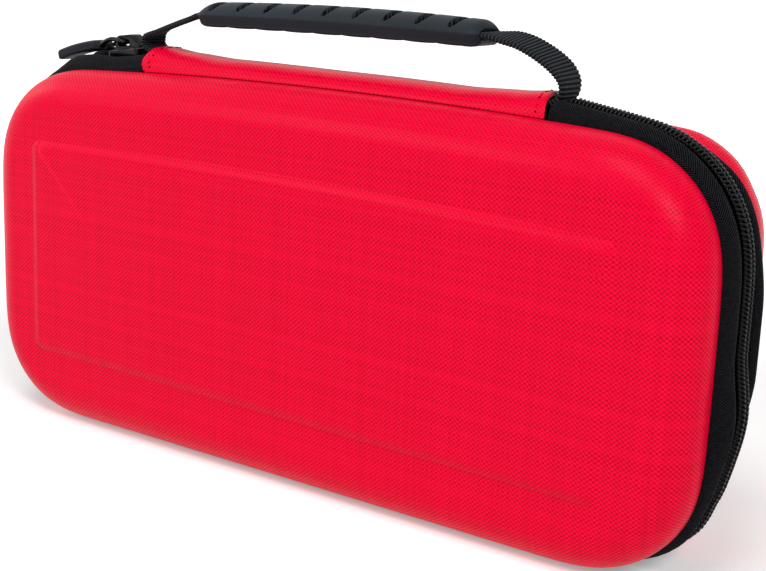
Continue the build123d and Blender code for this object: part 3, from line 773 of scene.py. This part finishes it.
def rowPiece(name, points, shape, pitch, start, look):
    # repeats a small shape along a line of points
    mesh = bpy.data.meshes.new(name + "Route")
    mesh.from_pydata([(x * mm, y * mm, z * mm) for x, y, z in points],
                     [(i, i + 1) for i in range(len(points) - 1)], [])
    holder = bpy.data.objects.new(name + "Route", mesh)
    bpy.context.scene.collection.objects.link(holder)
    modifier = holder.modifiers.new("row", "NODES")
    modifier.node_group = coilNodes
    setInputs(modifier, {"Tooth": shape, "Pitch": pitch * mm, "Start": start * mm, "Finish": look})
    made = plainResult(holder, name)
    bpy.data.objects.remove(shape)
    return made


def coilPiece(name, side, start):
    route = zipRoute(coilShape["startX"], coilShape["stopX"], 1.0)
    points = [(x + nx * lift, zipY, z + nz * lift) for x, z, nx, nz, lift in route]
    return rowPiece(name, points, coilTooth(side), coilShape["pitch"], start, coilLook)


def coilCordPiece(name, side):
    # cord that the coil is wound on
    r = coilShape["cord"]
    low = coilShape["crest"] - 2 * coilShape["wire"] - 0.75 * r
    rings = []
    for x, z, nx, nz, lift in zipRoute(coilShape["startX"] - 0.6, coilShape["stopX"] - 0.6, 1.5):
        turns = [k * math.pi / 4 for k in range(8)]
        ring = [(1.35 + r * math.cos(q), low + lift + 0.75 * r * math.sin(q)) for q in turns]
        rings.append([(x + nx * h, zipY - side * u, z + nz * h) for u, h in ring])
    return loftPiece(name, rings, None, None, (coilLook,))


def coilThreadPiece(name, side):
    # stitches that hold the coil to its tape
    h = zipShape["slit"] + zipShape["tape"] + 0.05
    points = []
    for x, z, nx, nz, lift in zipRoute(coilShape["startX"], coilShape["stopX"], 1.0):
        points.append((x + nx * (h + lift), zipY - side * coilShape["threadAt"], z + nz * (h + lift)))
    stitch = threadStitch("coilStitch", coilShape["threadLength"], coilShape["threadR"], zipThreadLook)
    return rowPiece(name, points, stitch, coilShape["pitch"], 0.3, zipThreadLook)


frontCoil = coilPiece("frontZipCoil", 1, 0.05)
rearCoil = coilPiece("rearZipCoil", -1, 0.05 + coilShape["pitch"] / 2)
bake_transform(frontCoil)
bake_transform(rearCoil)
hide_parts("front_zip_coil", "left_coil_ends", "right_coil_ends")
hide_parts("rear_zip_coil")
frontThread = coilThreadPiece("frontCoilThread", 1)
rearThread = coilThreadPiece("rearCoilThread", -1)
frontCord, rearCord = coilCordPiece("frontCoilCord", 1), coilCordPiece("rearCoilCord", -1)
for piece, body in ((frontThread, "lid"), (rearThread, "rear"), (frontCord, "lid"), (rearCord, "rear")):
    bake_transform(piece)
print("zip done", len(frontCoil.data.polygons), "coil faces")


# spine cloth between the two shells

spineShape = {"left": -71.4, "right": 76.3, "thick": 1.5, "seat": -0.4, "tongue": 4.0, "hollow": 2.2,
              "rises": ((0.0, 8.0), (0.082, 6.3), (0.19, 5.05), (0.476, 4.3),
                        (0.789, 4.2), (0.912, 5.3), (1.0, 6.6)),
              "endRow": (3.4, 2.8), "holePitch": 4.4, "holeR": 0.3,
              "seamPitch": 1.4, "seamLength": 1.15, "seamR": 0.26}


def spineRise(k):
    line = spineShape["rises"]
    for (a, ra), (b, rb) in zip(line, line[1:]):
        if k <= b:
            return mixed(ra, rb, eased((k - a) / (b - a)) * 0.35 + 0.65 * (k - a) / (b - a))
    return line[-1][1]


def spineOutside(rise, count=41):
    outer = [(-rimHalf, spineShape["seat"]), (-rimHalf + 0.35, 0.25 * rise), (-rimHalf + 1.3, 0.56 * rise),
             (-5.6, 0.92 * rise), (0, rise)]
    outer += [(-u, h) for u, h in reversed(outer[:-1])]
    return [(p.x, p.y) for p in curveThrough([(u, h, 0) for u, h in outer], count)[0]]


def spineSection(rise, thick):
    line = spineOutside(rise)
    back = []
    for i, (u, h) in enumerate(line):
        a, b = line[max(0, i - 1)], line[min(len(line) - 1, i + 1)]
        d = max(math.hypot(b[0] - a[0], b[1] - a[1]), 1e-9)
        back.append((u + thick * (b[1] - a[1]) / d, h - thick * (b[0] - a[0]) / d))
    return line + back[::-1]


def spinePlace(x, u, h):
    # the left end is a rounded tongue, the right end is hollowed under the strap; both fade out along the spine
    sp = spineShape
    left = sp["tongue"] * (1 - min(1.0, (h - sp["seat"]) / sp["tongue"]))**2 * 0.7
    right = sp["hollow"] * (max(0.0, 1 - (u / rimHalf)**2) if u < 0 else 1 + 2 * u / rimHalf)
    fromLeft = max(0.0, 1 - (x - sp["left"]) / 16)
    fromRight = max(0.0, 1 - (sp["right"] - x) / 16)
    return (x + left * fromLeft - right * fromRight, zipY + u, topZ(x) + h)


def spinePiece():
    left, right = spineShape["left"], spineShape["right"]
    stations = [left + d for d in (0.0, 0.12, 0.4, 0.8, 1.4)]
    stations += [mixed(left + 1.4, right - 1.4, i / 110) for i in range(1, 110)]
    stations += [right - d for d in (1.4, 0.8, 0.4, 0.12, 0.0)]
    rings, uvs = [], []
    for x in stations:
        edge = min(x - left, right - x)
        sink = 0.0 if edge >= 0.75 else 0.75 - math.sqrt(max(0.0, 0.75**2 - (0.75 - edge)**2))
        rise = spineRise((x - left) / (right - left))
        ring = [spinePlace(x, u, h)
                for u, h in spineSection(rise - sink, max(0.12, spineShape["thick"] - 2 * sink))]
        v, row = 0.0, [(x, 0.0)]
        for a, b in zip(ring, ring[1:] + ring[:1]):
            v += math.hypot(b[1] - a[1], b[2] - a[2])
            row.append((x, v))
        rings.append(ring)
        uvs.append(row)
    return loftPiece("spineCloth", rings, uvs, None, (redClothLook,))


def seamRow(name, side):
    # dark red stitches along the lower edge of the spine, where it meets the shells; their dark colour is painted
    # contact shadow along the seam
    left, right = spineShape["left"] + 3.5, spineShape["right"] - 0.6
    points = []
    for i in range(121):
        x = mixed(left, right, i / 120)
        points.append((x, zipY + side * (rimHalf + 0.02), topZ(x) + 0.12))
    stitch = threadStitch("seamStitch", spineShape["seamLength"], spineShape["seamR"], seamShadeLook)
    return rowPiece(name, points, stitch, spineShape["seamPitch"], 0.0, seamShadeLook)


def endRow(name, atLeft, hole):
    # needle holes with short stitches between them, across each end of the spine; the holes are near-black dots of
    # painted shade
    x = spineShape["left"] + spineShape["endRow"][0] if atLeft else spineShape["right"] - spineShape["endRow"][1]
    rise = spineRise((x - spineShape["left"]) / (spineShape["right"] - spineShape["left"]))
    points = [spinePlace(x, u, h + 0.02) for u, h in spineOutside(rise, 81)[6:-6]]
    if hole:
        shape = threadStitch("needleHole", 2 * spineShape["holeR"], spineShape["holeR"], stitchHoleShadeLook)
        return rowPiece(name, points, shape, spineShape["holePitch"], 0.0, stitchHoleShadeLook)
    shape = threadStitch("endStitch", spineShape["holePitch"] - 1.2, 0.2, redThreadLook)
    return rowPiece(name, points, shape, spineShape["holePitch"], spineShape["holePitch"] / 2, redThreadLook)


spineCloth = spinePiece()
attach(spineCloth, "spine")
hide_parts("spine_fabric")
spineRows = [seamRow("frontSeam", -1), seamRow("rearSeam", 1)]
for name, atLeft in (("leftEnd", True), ("rightEnd", False)):
    spineRows += [endRow(name + "Holes", atLeft, True), endRow(name + "Stitches", atLeft, False)]
for piece in spineRows:
    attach(piece, "spine")
print("spine done")


# handle: ribbed webbing through a moulded grip

handleShape = {"width": 11.0, "thick": 1.6, "ribPitch": 1.15, "ribDepth": 0.16,
               "gripLeft": (-53.3, 140.2), "gripRight": (52.7, 141.2), "bow": 1.3,
               "leftBends": ((-71.5, 127.0), (-75.8, 129.2), (-75.4, 132.3), (-70.5, 134.8), (-63.0, 137.4)),
               "rightBends": ((71.6, 136.2), (75.6, 133.2), (77.6, 130.1), (77.4, 127.0), (74.8, 124.7)),
               "roll": (13.0, 11.0)}


def gripLine(k):
    # point and direction on the gentle arch that the grip follows, k from 0 to 1
    (gx, gz), (hx, hz) = handleShape["gripLeft"], handleShape["gripRight"]
    place = Vector((mixed(gx, hx, k), 0, mixed(gz, hz, k) + handleShape["bow"] * 4 * k * (1 - k)))
    return place, Vector((hx - gx, 0, hz - gz + handleShape["bow"] * 4 * (1 - 2 * k))).normalized()


def strapLine():
    (gx, gz), (hx, hz) = handleShape["gripLeft"], handleShape["gripRight"]
    t = handleShape["thick"]
    line = [(-57.0, topZ(57.0) + 1.9), (-66.0, topZ(66.0) + 4.0), *handleShape["leftBends"]]
    line += [(gx - 3 * t, gz - 0.7 * t), (gx, gz)]
    line += [(p.x, p.z) for p in (gripLine(k)[0] for k in (0.03, 0.07, 0.14, 0.3, 0.5, 0.7, 0.86, 0.93, 0.97))]
    line += [(hx, hz), (hx + 3.6 * t, hz - 0.2 * t), (hx + 7 * t, hz - 0.9 * t), *handleShape["rightBends"]]
    line += [(64.0, topZ(64.0) + 1.8)]
    return [(x, 0.0, z) for x, z in line]


def ribTree():
    tree = bpy.data.node_groups.new("webbingRibs", "GeometryNodeTree")
    face = tree.interface
    face.new_socket(name="Band", in_out="INPUT", socket_type="NodeSocketGeometry")
    face.new_socket(name="Pitch", in_out="INPUT", socket_type="NodeSocketFloat")
    face.new_socket(name="Depth", in_out="INPUT", socket_type="NodeSocketFloat")
    face.new_socket(name="Finish", in_out="INPUT", socket_type="NodeSocketMaterial")
    face.new_socket(name="Webbing", in_out="OUTPUT", socket_type="NodeSocketGeometry")
    start, end = tree.nodes.new("NodeGroupInput"), tree.nodes.new("NodeGroupOutput")
    run = add(tree, "GeometryNodeInputNamedAttribute", {"Name": "runLength"}, data_type="FLOAT")
    turn = calc(tree, "DIVIDE", run.outputs[0], start.outputs["Pitch"])
    wave = calc(tree, "SINE", calc(tree, "MULTIPLY", calc(tree, "FRACT", turn), math.pi))
    lift = calc(tree, "MULTIPLY", calc(tree, "SUBTRACT", wave, 0.64), start.outputs["Depth"])
    normal = tree.nodes.new("GeometryNodeInputNormal")
    push = add(tree, "ShaderNodeVectorMath", {0: normal.outputs[0], "Scale": lift}, operation="SCALE")
    moved = add(tree, "GeometryNodeSetPosition", {"Geometry": start.outputs["Band"], "Offset": push.outputs[0]})
    real = add(tree, "GeometryNodeRealizeInstances", {0: moved.outputs[0]})
    painted = add(tree, "GeometryNodeSetMaterial",
                  {"Geometry": real.outputs[0], "Material": start.outputs["Finish"]})
    tree.links.new(painted.outputs[0], end.inputs[0])
    return tree


def webbingPiece():
    w, t = handleShape["width"] / 2, handleShape["thick"] / 2
    length = curveThrough(strapLine(), 10)[1]
    count = int(length / handleShape["ribPitch"] * 7)
    line, length = curveThrough(strapLine(), count)
    section = []
    for i in range(6):
        a = math.pi / 2 * (1 - i / 5) - math.pi / 2 * (i / 5)
        section.append((w - t + t * math.cos(a), t * math.sin(a)))
    flat = [mixed(w - t, t - w, i / 8) for i in range(1, 8)]
    section = [(y, t) for y in reversed(flat)] + section
    section += [(y, -t) for y in flat] + [(-y, -h) for y, h in section[7:13]]
    rings, uvs, runs = [], [], []
    for i, p in enumerate(line):
        a, b = line[max(0, i - 1)], line[min(count - 1, i + 1)]
        d = (b - a).normalized()
        up, across = Vector((-d.z, 0, d.x)), Vector((0, 1, 0))
        if i < count / 2:
            roll = handleShape["roll"][0] * eased((-51 - p.x) / 7) * eased((p.z - 131) / 4)
        else:
            roll = handleShape["roll"][1] * eased((p.x - 51) / 9) * (1 - eased((136 - p.z) / 9))
        c, e = math.cos(math.radians(roll)), math.sin(math.radians(roll))
        up, across = up * c - across * e, across * c + up * e
        rings.append([tuple(p + up * h + across * y + Vector((0, zipY, 0))) for y, h in section])
        s = length * i / (count - 1)
        v, row = 0.0, [(s, 0.0)]
        for q, r in zip(section, section[1:] + section[:1]):
            v += math.hypot(r[0] - q[0], r[1] - q[1])
            row.append((s, v))
        uvs.append(row)
        runs += [s * mm] * len(section)
    band = loftPiece("handleWebbingBand", rings, uvs, None, (webbingLook,))
    band.data.attributes.new("runLength", "FLOAT", "POINT").data.foreach_set("value", runs)
    modifier = band.modifiers.new("ribs", "NODES")
    modifier.node_group = ribTree()
    setInputs(modifier, {"Pitch": handleShape["ribPitch"] * mm, "Depth": handleShape["ribDepth"] * mm * 2,
                         "Finish": webbingLook})
    return plainResult(band, "handleWebbing")


handleWebbing = webbingPiece()
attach(handleWebbing, "spine")
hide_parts("handle_strap")

gripShape = {"half": 8.0, "top": 4.05, "ridge": (0.4, -0.1), "flank": (-2.5, -3.3), "under": (-3.3, -4.2),
             "foot": 6.0, "drawIn": 1.2,
             "slots": 9, "plainEnd": 3.5, "slant": 15.0, "slotLength": 10.8, "slotShift": 1.5,
             "slotWidth": 3.0, "slotDepth": 2.5, "scallop": 0.3,
             "starts": (1.0, 0.0), "cut": 0.9, "endRound": 6.0, "endTall": (6.0, 3.4),
             "mouth": (5.5, 1.0), "mouthDepth": 5.0}


def gripPiece():
    g = gripShape
    length = handleShape["gripRight"][0] - handleShape["gripLeft"][0]
    pitch = (length - 2 * g["plainEnd"]) / g["slots"]
    slant = math.radians(g["slant"])
    over, flank, turn, under = 36, 6, 6, 16

    def slotShare(s, y):
        deepest = 0.0
        for i in range(g["slots"]):
            ds = s - g["plainEnd"] - pitch * (i + 0.5)
            if abs(ds) < 5:
                v = y + g["slotShift"]
                p = (ds * math.sin(slant) + v * math.cos(slant)) / (g["slotLength"] / 2)
                q = (ds * math.cos(slant) - v * math.sin(slant)) / (g["slotWidth"] / 2)
                k = 1 - abs(p)**3.2
                if k > 0:
                    deepest = max(deepest, eased((1 - abs(q) / k**0.6) * 5.0))
        return deepest

    def scallop(s):
        k = (s - g["plainEnd"]) / pitch
        return g["scallop"] * (1 - abs(math.sin(math.pi * k))**0.45) if 0.2 < k < g["slots"] - 0.2 else 0.0

    def section(s, wide, tall):
        # domed top, a crease, steep flanks and a rounded underside; deepest at mid length
        bulge = 1 - (2 * s / length - 1)**2
        ridge, low, base = (mixed(*g[key], bulge) * tall for key in ("ridge", "flank", "under"))
        base += scallop(s)
        foot = wide * g["foot"] / g["half"]
        ring, dark = [], []
        for i in range(over):
            y = -wide * math.cos(math.pi * i / over)
            # k sets the slot's depth and also marks the slot for the painted-shade material
            k = slotShare(s, y) * wide / g["half"]
            ring.append((y, ridge + (g["top"] * tall - ridge) * (1 - (y / wide)**2)**0.9 - g["slotDepth"] * k))
            dark.append(k)
        side = [(wide - g["drawIn"] * j / flank, mixed(ridge, low, j / flank)) for j in range(flank)]
        for j in range(turn):
            a = math.pi / 2 * j / turn
            side.append((foot + (wide - g["drawIn"] - foot) * math.cos(a), low + (base - low) * math.sin(a)))
        ring += side + [(mixed(foot, -foot, j / under), base) for j in range(under + 1)]
        ring += [(-y, h) for y, h in reversed(side[1:])]
        return ring, dark + [0.0] * (len(ring) - over)

    def mouth(ring):
        w, t = g["mouth"]
        made = []
        for y, h in ring:
            a = math.atan2(h / 4, y / g["half"])
            c, e = math.cos(a), math.sin(a)
            made.append((w * math.copysign(abs(c)**0.45, c), t * math.copysign(abs(e)**0.45, e)))
        return made

    first, last = g["starts"][0], length - g["starts"][1]
    begin, finish, r = first + g["cut"], last - g["cut"], g["endRound"]
    ends = [(r - g["cut"]) * (1 - math.cos(math.pi / 2 * i / 12)) for i in range(13)]
    stations = [begin + e for e in ends]
    stations += [mixed(begin + ends[-1], finish - ends[-1], i / 360) for i in range(1, 360)]
    stations += [finish - e for e in reversed(ends)]
    rows = []
    for s in stations:
        e = min(s - first, last - s)
        wide = g["half"] * (1 - (1 - min(1.0, e / r))**3)**(1 / 3)
        tall = math.sqrt(1 - (1 - min(1.0, e / g["endTall"][s > length / 2]))**2)
        rows.append((s, *section(s, wide, tall)))
    hole = mouth(section(length / 2, g["half"], 1.0)[0])
    # the mouth insides are marked for painted shade
    plain, shadedMouth = [0.0] * len(hole), [1.0] * len(hole)
    lip = [(y * 1.03, h * 1.25) for y, h in hole]
    rows = [(begin + g["mouthDepth"], hole, shadedMouth), (begin + 0.3, hole, shadedMouth), (begin, lip, plain)] + rows
    rows += [(finish, lip, plain), (finish - 0.3, hole, shadedMouth), (finish - g["mouthDepth"], hole, shadedMouth)]
    rings, shade = [], []
    for s, ring, dark in rows:
        place, along = gripLine(s / length)
        up = Vector((-along.z, 0, along.x))
        rings.append([tuple(place + up * h + Vector((0, zipY + y, 0))) for y, h in ring])
        shade += dark
    grip = loftPiece("handleGrip", rings, None, None, (gripLook, gripSlotShadeLook))
    # faces deep in the slots and inside the mouths take the near-black material: painted shade in the recesses
    for face in grip.data.polygons:
        face.material_index = int(sum(shade[i] for i in face.vertices) / len(face.vertices) > 0.45)
    return grip


handleGrip = gripPiece()
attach(handleGrip, "spine")
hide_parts("handle_grip")
print("handle done")


# slider with softened edges, arched link and moulded tab

pullShape = {"sliderX": -84.2, "hingeAlong": -1.8, "hingeUp": 7.968, "tilt": -3.0, "soften": 0.28,
             "linkReach": 10.4,
             "linkHalf": 3.1, "linkR": 0.95, "linkArch": 1.6, "tabFrom": -8.8, "tabTo": -32.0, "tabHalf": 4.2,
             "tabThick": 1.75,
             "neck": 1.9, "rise": 0.6, "droop": 0.0058}


def sliderFrame():
    x0, x1 = -zipShape["endX"], zipShape["spineLeft"] - 0.5
    z0, z1 = topZ(x0), topZ(x1) + zipShape["leftRamp"]
    along = Vector((x1 - x0, 0, z1 - z0)).normalized()
    foot = Vector((pullShape["sliderX"], zipY, mixed(z0, z1, (pullShape["sliderX"] - x0) / (x1 - x0))))
    return foot, along, Vector((-along.z, 0, along.x))


def pullPlace(x, y, z):
    # from the pull's own axes at its hinge to the case
    foot, along, up = sliderFrame()
    t = math.radians(pullShape["tilt"])
    a, b = x * math.cos(t) + z * math.sin(t), -x * math.sin(t) + z * math.cos(t)
    return tuple(foot + along * (pullShape["hingeAlong"] + a) + up * (pullShape["hingeUp"] + b)
                 + Vector((0, y, 0)))


def softenedCopy(name, node, look, held, stretch):
    # copy of a CAD piece, stretched about a held point in the slider's axes, with softened edges
    mesh = nodes[node].data.copy()
    foot, along, up = sliderFrame()
    for vertex in mesh.vertices:
        place = vertex.co / mm - foot
        a, y, b = (h + (v - h) * k for v, h, k in zip((place.dot(along), place.y, place.dot(up)), held, stretch))
        vertex.co = (foot + along * a + up * b + Vector((0, y, 0))) * mm
    work = bmesh.new()
    work.from_mesh(mesh)
    bmesh.ops.remove_doubles(work, verts=work.verts, dist=2e-6)
    bmesh.ops.dissolve_limit(work, angle_limit=math.radians(1.5), verts=work.verts, edges=work.edges)
    work.to_mesh(mesh)
    work.free()
    mesh.materials.clear()
    mesh.materials.append(look)
    obj = bpy.data.objects.new(name + "Edges", mesh)
    bpy.context.scene.collection.objects.link(obj)
    modifier = obj.modifiers.new("soften", "BEVEL")
    modifier.width = pullShape["soften"] * mm
    modifier.segments = 2
    modifier.limit_method = "ANGLE"
    modifier.angle_limit = math.radians(35)
    made = plainResult(obj, name)
    made.data.set_sharp_from_angle(angle=math.radians(38))
    return made


def linkPiece():
    q = pullShape
    hx, hy, r = q["linkReach"] / 2, q["linkHalf"], 1.3
    path = []
    for cx, cy, a0 in ((hx - r, hy - r, 0), (r - hx, hy - r, 90), (r - hx, r - hy, 180), (hx - r, r - hy, 270)):
        for i in range(7):
            a = math.radians(a0 + 15 * i)
            path.append((cx + r * math.cos(a), cy + r * math.sin(a)))
    fine = []
    for i, (a, b) in enumerate(zip(path, path[1:] + path[:1])):
        steps = max(1, int(math.hypot(b[0] - a[0], b[1] - a[1]) / 0.4))
        fine += [(mixed(a[0], b[0], k / steps), mixed(a[1], b[1], k / steps)) for k in range(steps)]
    line = [Vector((x - hx, y, q["linkArch"] * math.cos(math.pi / 2 * x / hx))) for x, y in fine]
    rings = []
    for i, p in enumerate(line):
        d = (line[(i + 1) % len(line)] - line[i - 1]).normalized()
        side = d.cross(Vector((0, 0, 1))).normalized()
        up = side.cross(d)
        ring = []
        for k in range(12):
            a = 2 * math.pi * k / 12
            ring.append(pullPlace(*(p + side * (q["linkR"] * math.cos(a))
                                    + up * (0.8 * q["linkR"] * math.sin(a)))))
        rings.append(ring)
    n = len(rings[0])
    faces = []
    for i in range(len(rings)):
        for j in range(n):
            faces.append((i * n + j, i * n + (j + 1) % n,
                          (i + 1) % len(rings) * n + (j + 1) % n, (i + 1) % len(rings) * n + j))
    return meshPiece("pullLink", [v for ring in rings for v in ring], faces, None, None, (sliderLook,))


def tabPiece():
    q = pullShape
    run = q["tabFrom"] - q["tabTo"]
    rings = []
    stations = [0.0, 0.08, 0.3, 0.7] + [mixed(1.2, run - 2.4, i / 40) for i in range(41)]
    stations += [run - 2.4 * (1 - math.sin(math.pi / 2 * i / 10)) for i in range(1, 11)]
    for d in stations:
        x = q["tabFrom"] - d
        tip = max(0.0, 1 - (run - d) / 2.4)
        tipRound = max(0.0, 1 - tip**3)**(1 / 3)
        start = 1 - max(0.0, 1 - d / 0.7)**2
        wide = mixed(q["neck"], q["tabHalf"], eased((d - 0.8) / 2.6)) - 0.5 * eased((d - run + 9) / 9)
        wide = max(0.2, wide * tipRound * mixed(0.75, 1.0, start))
        thick = max(0.15, mixed(1.4, q["tabThick"], eased(d / 6)) * tipRound * mixed(0.6, 1.0, start))
        middle = q["rise"] - q["droop"] * max(0.0, -16 - x)**2 - 0.04 * max(0.0, x + 14)**2
        ring = []
        for i in range(32):
            a = 2 * math.pi * i / 32
            c, e = math.cos(a), math.sin(a)
            ring.append(pullPlace(x, wide * math.copysign(abs(c)**0.4, c),
                                  middle + thick * math.copysign(abs(e)**0.42, e)))
        rings.append(ring)
    return loftPiece("pullTab", rings, None, None, (pullLook,))


sliderBody = softenedCopy("sliderBody", "slider_body", sliderLook, (5.75, 0, 0), (1.25, 1, 1))
sliderBridge = softenedCopy("sliderBridge", "slider_bridge", sliderLook, (4.6, 0, 5.7), (1.25, 1.6, 0.85))
pullLink, pullTab = linkPiece(), tabPiece()
for piece, body, node in ((sliderBody, "slider", "slider_body"), (sliderBridge, "slider", "slider_bridge"),
                          (pullLink, "puller", "pull_link"), (pullTab, "puller", "pull_tab")):
    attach(piece, body)
    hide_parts(node)
print("slider done")


# inside: elastic straps in the tray and a mesh pocket in the lid

insideShape = {"strapX": 68.0, "strapWidth": 25.0, "strapY": 14.5, "strapThick": 1.2, "strapFoot": 4.2,
               "strapTop": 118.0,
               "meshY": -17.2, "meshThick": 0.7, "meshTop": 74.0, "binding": 8.0, "inset": 6.4}


def holdStrapPiece(name, sign):
    i = insideShape
    x0, w, t = sign * i["strapX"], i["strapWidth"] / 2, i["strapThick"] / 2
    section = [(-w + t, -t), (w - t, -t), (w - 0.2, -0.5 * t), (w, 0), (w - 0.2, 0.5 * t), (w - t, t), (t - w, t),
               (0.2 - w, 0.5 * t), (-w, 0), (0.2 - w, -0.5 * t)]
    rings, uvs = [], []
    for k in range(41):
        z = mixed(i["strapFoot"], i["strapTop"], k / 40)
        rings.append([(x0 + x, i["strapY"] + y, z) for x, y in section])
        v, row = 0.0, [(z, 0.0)]
        for a, b in zip(section, section[1:] + section[:1]):
            v += math.hypot(b[0] - a[0], b[1] - a[1])
            row.append((z, v))
        uvs.append(row)
    return loftPiece(name, rings, uvs, None, (elasticLook,))


for name, sign, node in (("holdStrapLeft", -1, "hold_strap_left"), ("holdStrapRight", 1, "hold_strap_right")):
    strap = holdStrapPiece(name, sign)
    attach(strap, "rear")
    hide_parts(node)


def pocketWidth(z):
    # half length of the lid opening at this height
    inset = insideShape["inset"]
    c = cornerR - inset
    if z < cornerR:
        return cornerX + math.sqrt(max(0.0, c * c - (cornerR - z)**2))
    if z > topCornerZ:
        return cornerX + math.sqrt(max(0.0, c * c - (z - topCornerZ)**2))
    return cornerX + c


def pocketPiece(name, low, high, thick, look, rows):
    rings, uvs = [], []
    for k in range(rows + 1):
        z = mixed(low, high, k / rows)
        w = pocketWidth(z)
        xs = [mixed(-w, w, j / 40) for j in range(41)]
        y = insideShape["meshY"]
        ring = [(x, y + thick / 2, z) for x in xs] + [(x, y - thick / 2, z) for x in reversed(xs)]
        uv = [(x, z) for x in xs] + [(x, z) for x in reversed(xs)]
        rings.append(ring)
        uvs.append(uv + uv[:1])
    return loftPiece(name, rings, uvs, None, (look,))


meshPocket = pocketPiece("meshPocket", insideShape["inset"] + 0.05, insideShape["meshTop"],
                         insideShape["meshThick"], meshLook, 30)
meshBinding = pocketPiece("meshBinding", insideShape["meshTop"], insideShape["meshTop"] + insideShape["binding"],
                          1.6, elasticLook, 6)
for piece, node, slot in ((meshPocket, "mesh_pocket", "mesh"), (meshBinding, "mesh_binding", "elastic")):
    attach(piece, "lid")
    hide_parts(node)
print("inside done")


# stage: pale floor, soft light, camera at the picture's angle

def floorMaterial():
    # reads white to the camera away from the case, and keeps the shadow near it
    material = bpy.data.materials.new("paleFloor")
    tree, shader = nodeTree(material)
    ray = add(tree, "ShaderNodeLightPath")
    place = add(tree, "ShaderNodeTexCoord").outputs["Object"]
    reach = add(tree, "ShaderNodeVectorMath", {0: place}, operation="LENGTH").outputs["Value"]
    glow = add(tree, "ShaderNodeMapRange", {0: reach, 1: 0.2, 2: 0.55, 3: 0.3, 4: 1.0}).outputs[0]
    seen = calc(tree, "MAXIMUM", ray.outputs["Is Camera Ray"], ray.outputs["Is Glossy Ray"])
    shader.inputs["Base Color"].default_value = (0.86, 0.86, 0.86, 1)
    shader.inputs["Roughness"].default_value = 0.9
    shader.inputs["Specular IOR Level"].default_value = 0.1
    shader.inputs["Emission Color"].default_value = (1, 1, 1, 1)
    tree.links.new(calc(tree, "MULTIPLY", seen, glow), shader.inputs["Emission Strength"])
    return material


def stageFloor():
    mesh = bpy.data.meshes.new("stageFloor")
    mesh.from_pydata([(-6, -6, -0.0002), (6, -6, -0.0002), (6, 6, -0.0002), (-6, 6, -0.0002)], [], [(0, 1, 2, 3)])
    mesh.materials.append(floorMaterial())
    obj = bpy.data.objects.new("stageFloor", mesh)
    bpy.context.scene.collection.objects.link(obj)


def stageWorld():
    world = bpy.data.worlds.new("studio")
    bpy.context.scene.world = world
    world.use_nodes = True
    tree = world.node_tree
    tree.nodes.clear()
    ray = add(tree, "ShaderNodeLightPath")
    seen = calc(tree, "MAXIMUM", ray.outputs["Is Camera Ray"],
                calc(tree, "MAXIMUM", ray.outputs["Is Glossy Ray"], ray.outputs["Is Transmission Ray"]))
    level = add(tree, "ShaderNodeMapRange", {0: seen, 3: 0.2, 4: 1.0})
    back = add(tree, "ShaderNodeBackground", {"Color": (1, 1, 1, 1), "Strength": level.outputs[0]})
    out = add(tree, "ShaderNodeOutputWorld")
    tree.links.new(back.outputs[0], out.inputs[0])


lights = {
    "rightBox": {"at": (1.0, -0.74, 1.0), "size": (0.4, 0.4), "power": 10.4},
    "leftBox": {"at": (-1.41, -0.1, 0.75), "size": (0.5, 0.5), "power": 2.8},
    "frontBox": {"at": (-0.62, -0.88, 0.62), "size": (0.4, 0.4), "power": 3.0},
    "topBox": {"at": (0.1, -0.6, 1.33), "size": (0.6, 0.6), "power": 8.0},
}
lookAt = Vector((0, 0, 0.06))
for name, light in lights.items():
    lamp = bpy.data.lights.new(name, "AREA")
    lamp.shape = "RECTANGLE"
    lamp.size, lamp.size_y = light["size"]
    lamp.energy = light["power"]
    holder = bpy.data.objects.new(name, lamp)
    holder.location = light["at"]
    holder.rotation_mode = "QUATERNION"
    holder.rotation_quaternion = (lookAt - Vector(light["at"])).to_track_quat("-Z", "Y")
    bpy.context.scene.collection.objects.link(holder)
stageFloor()
stageWorld()

shot = {"eye": (255.64, -351.31, 167.53), "azimuth": 34.264, "elevation": 13.879, "roll": 2.161, "lens": 66.953}


def shotCamera():
    a, e, r = (math.radians(shot[k]) for k in ("azimuth", "elevation", "roll"))
    back = Vector((math.sin(a) * math.cos(e), -math.cos(a) * math.cos(e), math.sin(e)))
    right = Vector((math.cos(a), math.sin(a), 0))
    up = back.cross(right)
    right, up = math.cos(r) * right + math.sin(r) * up, -math.sin(r) * right + math.cos(r) * up
    lens = bpy.data.cameras.new("shot")
    lens.lens = shot["lens"]
    lens.sensor_width = 36.0
    camera = bpy.data.objects.new("shot", lens)
    eye = Vector(shot["eye"]) * mm
    camera.matrix_world = Matrix(((right.x, up.x, back.x, eye.x), (right.y, up.y, back.y, eye.y),
                                  (right.z, up.z, back.z, eye.z), (0, 0, 0, 1)))
    bpy.context.scene.collection.objects.link(camera)
    bpy.context.scene.camera = camera


shotCamera()
bpy.context.scene.view_settings.view_transform = "Standard"
print("stage done")
